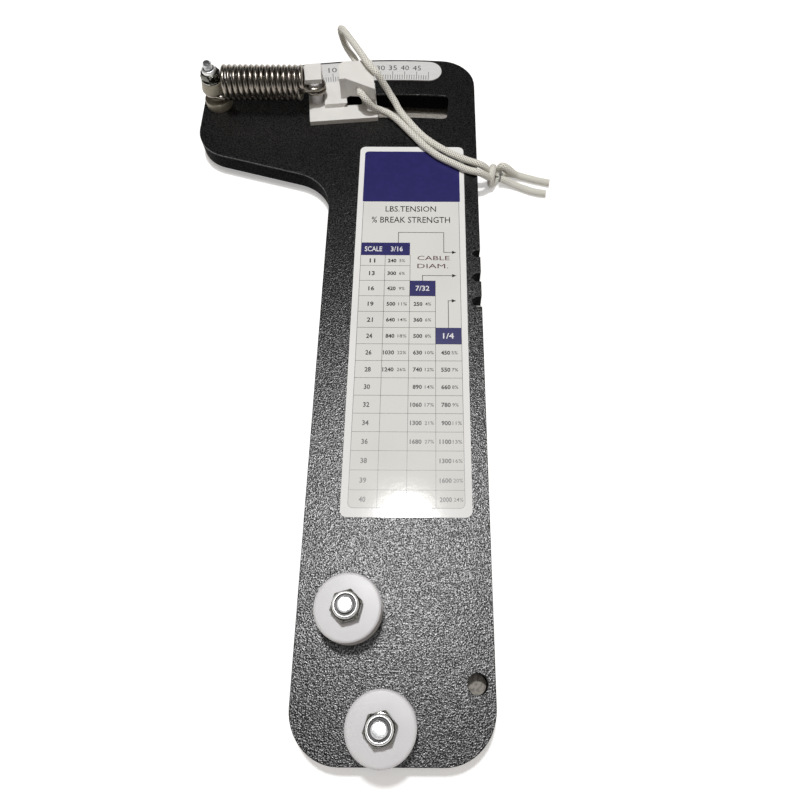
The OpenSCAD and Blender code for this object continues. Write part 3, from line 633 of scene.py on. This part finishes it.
class GAUGE_OT_stage(bpy.types.Operator):
    """Puts the floor, the lights and the photograph's camera in place"""

    bl_idname = "gauge.stage"
    bl_label = "Stage"

    def execute(self, context):
        scene = context.scene
        scene.view_settings.view_transform = "Standard"
        self.camera(scene)
        self.floor()
        for area in SHADES:
            self.shade(*area)
        self.sky(scene)
        for lamp in LAMPS:
            self.softbox(*lamp)
        return {"FINISHED"}

    def camera(self, scene):
        """The photograph's camera, as its straight edges and arcs give it."""
        tilt, roll = math.radians(CAMERA_TILT), math.radians(CAMERA_ROLL)
        ahead = Vector((0, math.sin(tilt), -math.cos(tilt)))
        right = Vector((1, 0, 0))
        up = Vector((0, math.cos(tilt), math.sin(tilt)))
        right, up = (math.cos(roll) * right + math.sin(roll) * up,
                     math.cos(roll) * up - math.sin(roll) * right)
        lens = bpy.data.cameras.new("camera")
        lens.sensor_width = SENSOR_MM
        lens.lens = FOCAL_PX / IMAGE_SIDE * SENSOR_MM
        lens.shift_x = (IMAGE_SIDE / 2 - CENTRE_PX[0]) / IMAGE_SIDE
        lens.shift_y = (CENTRE_PX[1] - IMAGE_SIDE / 2) / IMAGE_SIDE
        camera = place_piece("camera", lens)
        aim = Matrix((right, up, -ahead)).transposed().to_4x4()
        camera.matrix_world = Matrix.Translation(CAMERA_AT) @ aim
        scene.camera = camera

    def floor(self):
        """White paper that keeps the piece's shadow. It glows a little where the lamps light it and more
        far away, so that it is white everywhere for what sees it."""
        floor = sheet("floor", -FLOOR_HALF, -FLOOR_HALF, FLOOR_HALF, FLOOR_HALF, 0)
        made, tree, surface = new_material("white paper sweep")
        feed(tree, surface, {"Base Color": linear("f4f4f4"), "Roughness": 0.9})
        place = add(tree, "ShaderNodeTexCoord", out="Object")
        far = add(tree, "ShaderNodeVectorMath", {0: place}, out="Value", operation="LENGTH")
        level = add(tree, "ShaderNodeMapRange", {"Value": far, "From Min": NEAR_TO, "From Max": FAR_FROM,
                                                 "To Min": GLOW_NEAR, "To Max": GLOW_FAR})
        glow = add(tree, "ShaderNodeMath", {0: self.seen(tree), 1: level}, operation="MULTIPLY")
        white = add(tree, "ShaderNodeEmission", {"Strength": glow})
        both = add(tree, "ShaderNodeAddShader", {0: surface.outputs[0], 1: white})
        tree.links.new(both, tree.nodes["Material Output"].inputs["Surface"])
        floor.data.materials.append(made)

    def shade(self, name, *area):
        """A dark sheet of table top under the slot or the hole, with the plate's shade painted into its
        colour.
        """
        patch = sheet(name, *area)
        made, tree, surface = new_material("table top with painted shade")
        feed(tree, surface, {"Base Color": tones(tree, patches(tree, 1.2), 0.35, 0.6, "a39e96", 0.55),
                             "Roughness": 0.8})
        patch.data.materials.append(made)

    def seen(self, tree):
        """One for what the camera, a mirror or a clear piece sees."""
        ray = tree.nodes.new("ShaderNodeLightPath").outputs
        first = add(tree, "ShaderNodeMath", {0: ray["Is Camera Ray"], 1: ray["Is Glossy Ray"]},
                    operation="MAXIMUM")
        return add(tree, "ShaderNodeMath", {0: first, 1: ray["Is Transmission Ray"]}, operation="MAXIMUM")

    def sky(self, scene):
        """White all round for the camera. A mirror sees that white up to a dark studio ceiling, and the
        room lights the piece dimly."""
        world = bpy.data.worlds.new("studio")
        world.use_nodes = True
        scene.world = world
        tree = world.node_tree
        way = add(tree, "ShaderNodeTexCoord", out="Generated")
        height = add(tree, "ShaderNodeSeparateXYZ", {0: way}, out="Z")
        white = linear("ffffff")
        mirrored = add(tree, "ShaderNodeValToRGB", {"Fac": height},
                       stops=((BACKDROP_TO, white), (CEILING_FROM, linear(CEILING))))
        camera = add(tree, "ShaderNodeLightPath", out="Is Camera Ray")
        level = linear(ROOM)
        for share, light in ((self.seen(tree), mirrored), (camera, white)):
            level = add(tree, "ShaderNodeMix", {"Factor": share, "A": level, "B": light},
                        out="Result", data_type="RGBA")
        tree.links.new(level, tree.nodes["Background"].inputs["Color"])

    def softbox(self, name, at, width, power):
        """A round lamp that looks at the middle of the plate."""
        data = bpy.data.lights.new(name, "AREA")
        data.shape = "DISK"
        data.size = width
        data.energy = power
        lamp = place_piece(name, data)
        lamp.location = at
        lamp.rotation_euler = (-Vector(at)).to_track_quat("-Z", "Y").to_euler()


class GAUGE_OT_finishes(bpy.types.Operator):
    """Gives the CAD nodes that stay their finishes"""

    bl_idname = "gauge.finishes"
    bl_label = "CAD finishes"

    def execute(self, context):
        for node, material in (
            ("frame_plate", "coat"), ("slider_body", "nylon"), ("slider_keeper", "nylon"),
            ("data_label", "film"), ("scale_strip", "strip"),
            ("upper_washer", "zinc"), ("lower_washer", "zinc"), ("upper_bush", "sleeve"),
            ("lower_bush", "sleeve"), ("upper_nut_ring", "ring"), ("lower_nut_ring", "ring"),
            ("post_nut_ring", "ring"), ("post_washer", "zinc"), ("top_washer", "zinc"),
            ("spring_pin", "zinc"), ("pin_bush", "turned"), ("left_screw", "zinc"),
            ("right_screw", "zinc"),
        ):
            slots = frame["nodes"][node].data.materials
            if slots:
                slots[0] = finish(material)
            else:
                slots.append(finish(material))
        return {"FINISHED"}


class GAUGE_OT_turned(bpy.types.Operator):
    """Turns the two grooved rollers and the spring's post"""

    bl_idname = "gauge.turned"
    bl_label = "Rollers and post"

    def execute(self, context):
        for node in ("upper_roller", "lower_roller"):
            self.roller(node)
        self.post()
        return {"FINISHED"}

    def roller(self, node):
        """The roller's profile: rounded flanges with soft lips, and between them a groove with fillets in
        its corners."""
        low, high = box(node)
        at = (low + high) / 2
        outer, mid = (high[0] - low[0]) / 2, at[2]
        bore, lip, edge, rim = 4.81 * MM, 3.7 * MM, 1.1 * MM, 0.4 * MM
        floor, floor_half, fillet = 9 * MM, 3.3 * MM, 0.7 * MM
        profile = [(bore, low[2])]
        profile += arc((outer - edge, low[2] + edge), edge, -90, 0, 7)
        profile += arc((outer - rim, mid - lip - rim), rim, 0, 80, 4)
        profile += arc((floor + fillet, mid - floor_half + rim), fillet, 250, 180, 4)
        profile += arc((floor + fillet, mid + floor_half - rim), fillet, 180, 110, 4)
        profile += arc((outer - rim, mid + lip + rim), rim, 280, 360, 4)
        profile += arc((outer - edge, high[2] - edge), edge, 0, 90, 7)
        profile += [(bore, high[2])]
        dress(revolved(node + "_turned", profile, at), "turned", node, "turned_nylon", node, sharp=50)

    def post(self):
        """The sleeve's profile: chamfered foot, groove for the loop, and a collar that tapers to its
        top."""
        low, high = box("post_sleeve")
        foot, groove, collar, top = (high[0] - low[0]) / 2, POST_GROOVE, 6.85 * MM, 5.7 * MM
        foot_high, bead_low, bore = low[2] + 4.9 * MM, high[2] - 5.8 * MM, 2.5 * MM
        chamfer, soft = 0.8 * MM, 0.35 * MM
        profile = [(bore, low[2]), (foot, low[2]), (foot, foot_high - chamfer)]
        profile += [(foot - chamfer * 0.3, foot_high - chamfer * 0.3), (foot - chamfer, foot_high)]
        profile += arc((groove + soft, foot_high + soft), soft, 270, 180, 4)
        profile += arc((groove + soft, bead_low - soft), soft, 180, 90, 4)
        profile += arc((collar - soft, bead_low + soft), soft, -90, 10, 5)
        profile += arc((top - soft, high[2] - soft), soft, 10, 90, 5)
        profile += [(bore, high[2])]
        dress(revolved("post_sleeve_turned", profile, POST), "sleeve", "frame", "sleeve_steel",
              "post_sleeve", sharp=35)


class GAUGE_OT_fasteners(bpy.types.Operator):
    """Makes the locking nuts and the threaded bolts"""

    bl_idname = "gauge.fasteners"
    bl_label = "Nuts and bolts"

    def execute(self, context):
        for name, flats, collar, head_high, turn in NUTS:
            bolt = sizes().post_bolt if name == "post" else sizes().roller_bolt
            self.pair(name, flats * MM, collar * MM, bolt, head_high * MM, turn)
        return {"FINISHED"}

    def pair(self, name, flats, collar, bolt, head_high, turn):
        """A nut of that width over its flats under a collar, and the bolt through it."""
        low, high = box(name + "_nut")
        at = (low + high) / 2
        half = flats / 2
        corner = half / math.cos(TURN / 12)
        bevel = corner - half
        hex_top = box(name + "_nut_ring")[0][2]
        bore, wall, lead = bolt / 2 + 0.05 * MM, 0.8 * MM, 0.3 * MM
        outer = collar / 2
        rows = [(bore, low[2], 0, 0), (half, low[2], 0, 0), (corner, low[2] + bevel, half, 0),
                (corner, hex_top - bevel, half, 0), (half - lead / 3, hex_top, 0, 0),
                (outer + lead / 2, hex_top + lead / 6, 0, 0), (outer, hex_top + lead, 0, 0)]
        rows += [(r, z, 0, 0) for r, z in arc((outer - wall, high[2] - wall), wall, 10, 90, 6)]
        rows += [(outer - wall - lead, high[2] - lead / 2, 0, 0), (outer - wall - lead, hex_top, 0, 0),
                 (bore, hex_top, 0, 0)]
        # The collar's rim rows, which the nut's finish paints near white as a highlight.
        rim = range(6, len(rows) - 3)
        dress(spun(name + "_nut_turned", rows, at, turn + 30, True, rim), "nut", "frame", "zinc_steel",
              name + "_nut", sharp=35)

        start, end = box(name + "_bolt")
        radius, chamfer, dome, tip = bolt / 2, 0.7 * MM, 0.12 * MM, 0.01 * MM
        flange, thread, row_step, runout = 0.2 * MM, 0.35 * MM, 0.16 * MM, 0.2 * MM
        rows = [(tip, start[2], 0, 0), (half - lead, start[2], 0, 0), (half, start[2] + flange, 0, 0),
                (corner, start[2] + flange + bevel, half, 0), (corner, head_high, half, 0),
                (radius, head_high, 0, 0), (radius, low[2], 0, 0)]
        rows += [(radius, z, 0, thread) for z in np.arange(hex_top, end[2] - chamfer, row_step)]
        rows += [(radius - runout, end[2] - chamfer, 0, 0), (radius - chamfer, end[2] - dome, 0, 0),
                 (radius * 0.4, end[2] - dome / 6, 0, 0), (tip, end[2], 0, 0)]
        dress(spun(name + "_bolt_threaded", rows, at, 30), "bright", "frame", "zinc_steel",
              name + "_bolt", sharp=35)


class GAUGE_OT_spring(bpy.types.Operator):
    """Winds the tension spring from one smooth wire"""

    bl_idname = "gauge.spring"
    bl_label = "Tension spring"

    def execute(self, context):
        """In the spring's own axes, along it, across it and up: a half turn round the post, the coils as
        (start + pitch * t, radius * cos, radius * sin) of a full turn for each t, and two windings that
        sink round the pin. Short cubics join them."""
        s = sizes()
        wire, clear, bush = s.wire / 2, 0.15 * MM, 3.5 * MM
        post_loop, pin_loop = POST_GROOVE + clear + wire, bush + clear + wire
        post_dip, pin_dip, pin_drop, axis_high = -4.8 * MM, -0.3 * MM, 2.9 * MM, 14.3 * MM
        wound, degrees_apart, coil_steps, near = 580, 5, 36, 0.001
        reach = np.linalg.norm(PIN[:2] - POST[:2])
        run = (PIN[:2] - POST[:2]) / reach
        height = FACE_Z + axis_high
        phase, turns, start, pull = math.radians(240), 14 + 265 / 360, 5.6 * MM, 3.5 * MM

        def coil(t):
            a = phase + TURN * t
            return np.stack([start + s.pitch * t, s.coil * np.cos(a), s.coil * np.sin(a)], -1)

        def blend(a, b, c, d):
            """Ten points of the cubic from a to d that leaves towards b and arrives from c."""
            t = np.linspace(0, 1, 12)[1:-1, None]
            return a * (1 - t) ** 3 + b * 3 * t * (1 - t) ** 2 + c * 3 * t * t * (1 - t) + d * t**3

        def unit(v):
            return v / np.linalg.norm(v)

        first, last = coil(np.array([0.0, near])), coil(np.array([turns - near, turns]))
        a = np.radians(np.arange(-180, 1, degrees_apart))
        left = np.stack([post_loop * np.sin(a), -post_loop * np.cos(a), post_dip + 0 * a], -1)
        a = np.radians(np.arange(0, wound + 1, degrees_apart))
        right = np.stack([reach + pin_loop * np.sin(a), -pin_loop * np.cos(a),
                          pin_dip - pin_drop * a / TURN], -1)
        lean = np.array([pull, 0, 0])
        local = np.vstack([
            left[0] + unit(left[0] - left[1]) * s.wire, left,
            blend(left[-1], left[-1] + lean, first[0] - unit(first[1] - first[0]) * pull, first[0]),
            coil(np.linspace(0, turns, int(turns * coil_steps))),
            blend(last[1], last[1] + unit(last[1] - last[0]) * pull, right[0] - lean, right[0]),
            right, right[-1] + unit(right[-1] - right[-2]) * s.wire,
        ])
        path = np.stack([POST[0] + run[0] * local[:, 0] - run[1] * local[:, 1],
                         POST[1] + run[1] * local[:, 0] + run[0] * local[:, 1], height + local[:, 2]], 1)
        piece = tube("tension_spring_wire", path, wire, sides=14)
        piece.data.materials.append(finish("spring"))
        piece.data.shade_smooth()
        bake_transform(piece)
        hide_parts("tension_spring")
        return {"FINISHED"}


class GAUGE_OT_lanyard(bpy.types.Operator):
    """Lays the lanyard's two strands, its knot and its cut ends"""

    bl_idname = "gauge.lanyard"
    bl_label = "Lanyard"

    def execute(self, context):
        back, back_path = self.strand("lanyard_back", BACK_STRAND)
        front, front_path = self.strand("lanyard_front", FRONT_STRAND)
        tails = [self.strand("upper_tail", UPPER_TAIL)[0], self.strand("lower_tail", LOWER_TAIL)[0]]
        aim = math.radians(KNOT_AIM)
        c, s = math.cos(aim), math.sin(aim)
        turn = np.array([[c, s, 0], [-s, c, 0], [0, 0, 1]])
        knot = self.strand("lanyard_knot", np.array(KNOT_CORD) @ turn + KNOT_AT)[0]
        return {"FINISHED"}

    def strand(self, node, route):
        """A braided cord on a route in millimetres: strands wind both ways round it, and the higher of
        two crossed sine waves stands proud."""
        radius = sizes().cord / 2
        waves, depth, step = 8, 0.2 * MM, 0.25 * MM

        def weave(a, s):
            lay = waves / radius * s
            return (np.maximum(np.sin(waves * a + lay), np.sin(waves * a - lay)) + 1) / 2, depth

        path = spaced(along(np.array(route) * MM), step)
        piece = tube(node + "_braid", path, radius, sides=40, relief=weave)
        dress(piece, "braid", "slider", "braid", node)
        piece.data.shade_smooth()
        return piece, path


class GAUGE_OT_scale(bpy.types.Operator):
    """Marks the scale strip with its ticks and numbers"""

    bl_idname = "gauge.scale"
    bl_label = "Scale marks"

    def execute(self, context):
        """Mark n lies at the pivot plus the strip's inner radius times (sine, cosine) of its angle, and
        runs outwards."""
        inner, number_out, ink = 338.5 * MM, 9.3 * MM, 0.02 * MM
        first, step, marks, numbered = -8.897, 0.2334, 51, 5
        short, long, half_width = 3.7 * MM, 6.4 * MM, 0.16 * MM
        one_wide, two_wide, high = 2.1 * MM, 4.8 * MM, 3.9 * MM
        top = STRIP_TOP + ink
        number = np.arange(marks)
        angle = np.radians(first + step * number)
        length = np.where(number % numbered == 0, long, short)
        out = np.stack([np.sin(angle), np.cos(angle)], 1)
        over = np.stack([np.cos(angle), -np.sin(angle)], 1) * half_width
        base = PIVOT[:2] + out * inner
        tip = base + out * length[:, None]
        flat = np.stack([base - over, base + over, tip + over, tip - over], 1).reshape(-1, 2)
        flat_piece("scale_ticks", flat, apart(flat, 4), top, "grey", "strip_metal")
        texts = [(str(n), PIVOT[:2] + out[n] * (inner + number_out), one_wide if n < 10 else two_wide,
                  high, -angle[n]) for n in range(0, marks - 1, numbered)]
        printed("scale_numbers", texts, top, "black", "strip_metal", bold=-0.004)
        return {"FINISHED"}


# The table: a gauge reading, then the load and its share of the cable's strength for each cable.
ROWS = [
    ("11", "240 5", "", ""), ("13", "300 6", "", ""), ("16", "420 9", "", ""),
    ("19", "500 11", "250 4", ""), ("21", "640 14", "360 6", ""), ("24", "840 18", "500 8", ""),
    ("26", "1030 22", "630 10", "450 5"), ("28", "1240 26", "740 12", "550 7"),
    ("30", "", "890 14", "660 8"), ("32", "", "1060 17", "780 9"), ("34", "", "1300 21", "900 11"),
    ("36", "", "1680 27", "1100 13"), ("38", "", "", "1300 16"), ("39", "", "", "1600 20"),
    ("40", "", "", "2000 24"),
]
# Places on the label, millimetres from its lower left corner.
COLUMNS = (3.1, 15.65, 28.3, 41, 53.6)
FIRST_LINE, ROW_PITCH = 128.4, 8.954
BAND = (3.1, 134.7, 28.1, 142.5)
HEADER = (2.7, 169, 54.1, 203.7)
TABLE = (3.1, 3.95, 53.6, 168.7)
# The first rows of the second and the third cable. Each one's size stands in a block above its row.
SECOND_FROM, THIRD_FROM = 3, 6
# Where the loads end and the shares start in each cable's column, their widths by their digits and
# their heights. The words of a row lie a little under its middle.
LOAD_ENDS, LOAD_WIDE, LOAD_HIGH = (21.35, 34.65, 47.9), {3: 4.31, 4: 5.28}, 2.25
SHARE_STARTS, SHARE_WIDE, SHARE_HIGH = (22.85, 36, 48.6), {1: 2.9, 2: 4.2}, 1.75
READING_AT, READING_WIDE, READING_HIGH = 9.25, 2.9, 2.5
WORDS_DROP = 0.15
# Words with their middles, widths and heights; the blocks' words take their height from their block.
HEADING = [("LBS.TENSION", 28.2, 164.2, 26.5, 3.7), ("% BREAK STRENGTH", 28.3, 157.1, 40.8, 3.9)]
LEGEND = [("CABLE", 40.1, 133.1, 16.3, 2.6), ("DIAM.", 39.7, 128.2, 15.5, 2.6)]
BLOCK_WORDS = [("SCALE", 9.5, 8.9, 3.1), ("3/16", 21.4, 6.1, 3.1), ("7/32", 34.6, 6.9, 3),
               ("1/4", 47.2, 5.2, 3)]
# How high each layer of ink lies, from the tinted field up to the words.
FIELD_Z, BLOCK_Z, HEADER_Z, HEAD_Z, BORDER_Z, WORDS_Z = (
    LABEL_TOP + k * MM for k in (0.015, 0.03, 0.035, 0.04, 0.045, 0.045)
)
# The leaders' corners, each from a size's block to beside its notch in the plate.
ARROWS = [
    [(22.1, 142.5), (22.1, 149), (45.35, 149), (45.35, 136.6), (51.6, 136.6)],
    [(34.6, 119.5), (34.6, 122.5), (51.5, 122.5)],
    [(47.3, 92.6), (47.3, 107.8), (51.1, 107.8)],
]


class GAUGE_OT_label(bpy.types.Operator):
    """Prints the tension table on the data label"""

    bl_idname = "gauge.label"
    bl_label = "Tension table"

    def execute(self, context):
        lines = [BAND[1]] + [FIRST_LINE - ROW_PITCH * k for k in range(len(ROWS) - 1)] + [TABLE[1]]
        second = (COLUMNS[2], lines[SECOND_FROM], COLUMNS[3], lines[SECOND_FROM - 1])
        third = (COLUMNS[3], lines[THIRD_FROM], COLUMNS[4], lines[THIRD_FROM - 1])
        self.table()
        bars("label_blocks", [BAND, second, third], BLOCK_Z, "navy")
        self.rules(lines)
        self.arrows()
        self.rows(lines)
        self.words("label_heading", HEADING, "black", bold=0.004)
        self.words("label_legend", LEGEND, "red", bold=0)
        self.words("label_sizes", [
            (text, x, (block[1] + block[3]) / 2, width, high)
            for (text, x, width, high), block in zip(BLOCK_WORDS, (BAND, BAND, second, third))
        ], "white", bold=0.014)
        return {"FINISHED"}

    def rows(self, lines):
        """The readings, and the loads and shares of each cable."""
        loads, shares, readings = [], [], []
        for k, (reading, *cells) in enumerate(ROWS):
            y = (lines[k] + lines[k + 1]) / 2 - WORDS_DROP
            readings.append((reading, READING_AT, y, READING_WIDE, READING_HIGH))
            for cell, end, start in zip(cells, LOAD_ENDS, SHARE_STARTS):
                if cell:
                    load, share = cell.split()
                    width = LOAD_WIDE[len(load)]
                    loads.append((load, end - width / 2, y, width, LOAD_HIGH))
                    width = SHARE_WIDE[len(share)]
                    shares.append((share + "%", start + width / 2, y, width, SHARE_HIGH))
        self.words("label_loads", loads, "black", bold=0.03)
        self.words("label_shares", shares, "black", bold=0.002)
        self.words("label_readings", readings, "black", bold=0.025)

    def table(self):
        """The tinted field, its thin border and the header, with rounded corners."""
        field = self.outline(TABLE, low_round=2.2, high_round=0)
        flat_piece("label_table", field, apart(field, len(field)), FIELD_Z, "tint", "label_film")
        header = self.outline(HEADER, low_round=0.6, high_round=2)
        flat_piece("label_header", header, apart(header, len(header)), HEADER_Z, "navy", "label_film")
        width = 0.22
        left, bottom, right, top = TABLE
        inner = (left + width, bottom + width, right - width, top - width)
        inner = self.outline(inner, low_round=2, high_round=0)
        ring = np.arange(len(field) - 1)
        faces = np.stack([ring, ring + 1, ring + 1 + len(field), ring + len(field)], 1)
        flat_piece("label_border", np.vstack([field, inner]), faces.tolist(), BORDER_Z, "grey",
                   "label_film")

    def outline(self, area, low_round, high_round):
        """A rectangle from its upper left corner round by its lower side, with its corners rounded."""
        left, bottom, right, top = area
        r, q = low_round, high_round
        points = arc((left + q, top - q), q, 90, 180) if q else [(left, top)]
        points += arc((left + r, bottom + r), r, 180, 270) + arc((right - r, bottom + r), r, 270, 360)
        points += arc((right - q, top - q), q, 0, 90) if q else [(right, top)]
        return np.array(points) * MM + LABEL_LOW[:2]

    def rules(self, lines):
        """The table's lines: each is a bar round its middle."""
        half = 0.11
        last = len(lines) - 1
        made = []
        for k, y in enumerate(lines[1:last], 1):
            end = COLUMNS[2 + (k >= SECOND_FROM) + (k >= THIRD_FROM)]
            made.append((COLUMNS[0], y - half, end, y + half))
        for x, high in ((COLUMNS[1], BAND[1]), (COLUMNS[2], BAND[1]),
                        (COLUMNS[3], lines[SECOND_FROM - 1])):
            made.append((x - half, lines[last], x + half, high))
        bars("label_rules", made, BLOCK_Z, "grey")

    def arrows(self):
        """The leaders from the sizes to their notches, each with a head at its end."""
        half, head, head_half = 0.19, 2.1, 1
        made, heads = [], []
        for route in ARROWS:
            for (x0, y0), (x1, y1) in zip(route, route[1:]):
                made.append((min(x0, x1) - half, min(y0, y1) - half, max(x0, x1) + half * (x0 == x1),
                             max(y0, y1) + half))
            x, y = route[-1]
            heads += [(x - head, y - head_half), (x, y), (x - head, y + head_half)]
        bars("label_leaders", made, BLOCK_Z, "grey")
        flat = np.array(heads) * MM + LABEL_LOW[:2]
        flat_piece("label_heads", flat, apart(flat, 3), HEAD_Z, "black", "label_film")

    def words(self, name, items, material, bold):
        """Words on the label; each item is (words, x, y, width, height) in millimetres."""
        texts = [(text, LABEL_LOW[:2] + np.array((x, y)) * MM, w * MM, h * MM, 0)
                 for text, x, y, w, h in items]
        printed(name, texts, WORDS_Z, material, "label_film", bold)


class GAUGE_PT_panel(bpy.types.Panel):
    """Lists the gauge's steps, sizes and colours"""

    bl_label = "Tension gauge"
    bl_idname = "GAUGE_PT_panel"
    bl_space_type = "VIEW_3D"
    bl_region_type = "UI"
    bl_category = "Gauge"

    def draw(self, context):
        column = self.layout.column()
        for step in STEPS:
            column.operator(step.bl_idname)
        for group in (sizes(), colours()):
            for name in group.__annotations__:
                column.prop(group, name)


STEPS = (
    GAUGE_OT_stage, GAUGE_OT_lanyard, GAUGE_OT_finishes, GAUGE_OT_turned, GAUGE_OT_fasteners,
    GAUGE_OT_spring, GAUGE_OT_scale, GAUGE_OT_label,
)
CLASSES = (GaugeSizes, GaugeColours, *STEPS, GAUGE_PT_panel)


def register():
    for each in CLASSES:
        bpy.utils.register_class(each)
    bpy.types.Scene.gauge_sizes = PointerProperty(type=GaugeSizes)
    bpy.types.Scene.gauge_colours = PointerProperty(type=GaugeColours)


def unregister():
    del bpy.types.Scene.gauge_colours
    del bpy.types.Scene.gauge_sizes
    for each in reversed(CLASSES):
        bpy.utils.unregister_class(each)


def main():
    register()
    for step in STEPS:
        group, name = step.bl_idname.split(".")
        getattr(getattr(bpy.ops, group), name)()


if __name__ == "__main__":
    main()
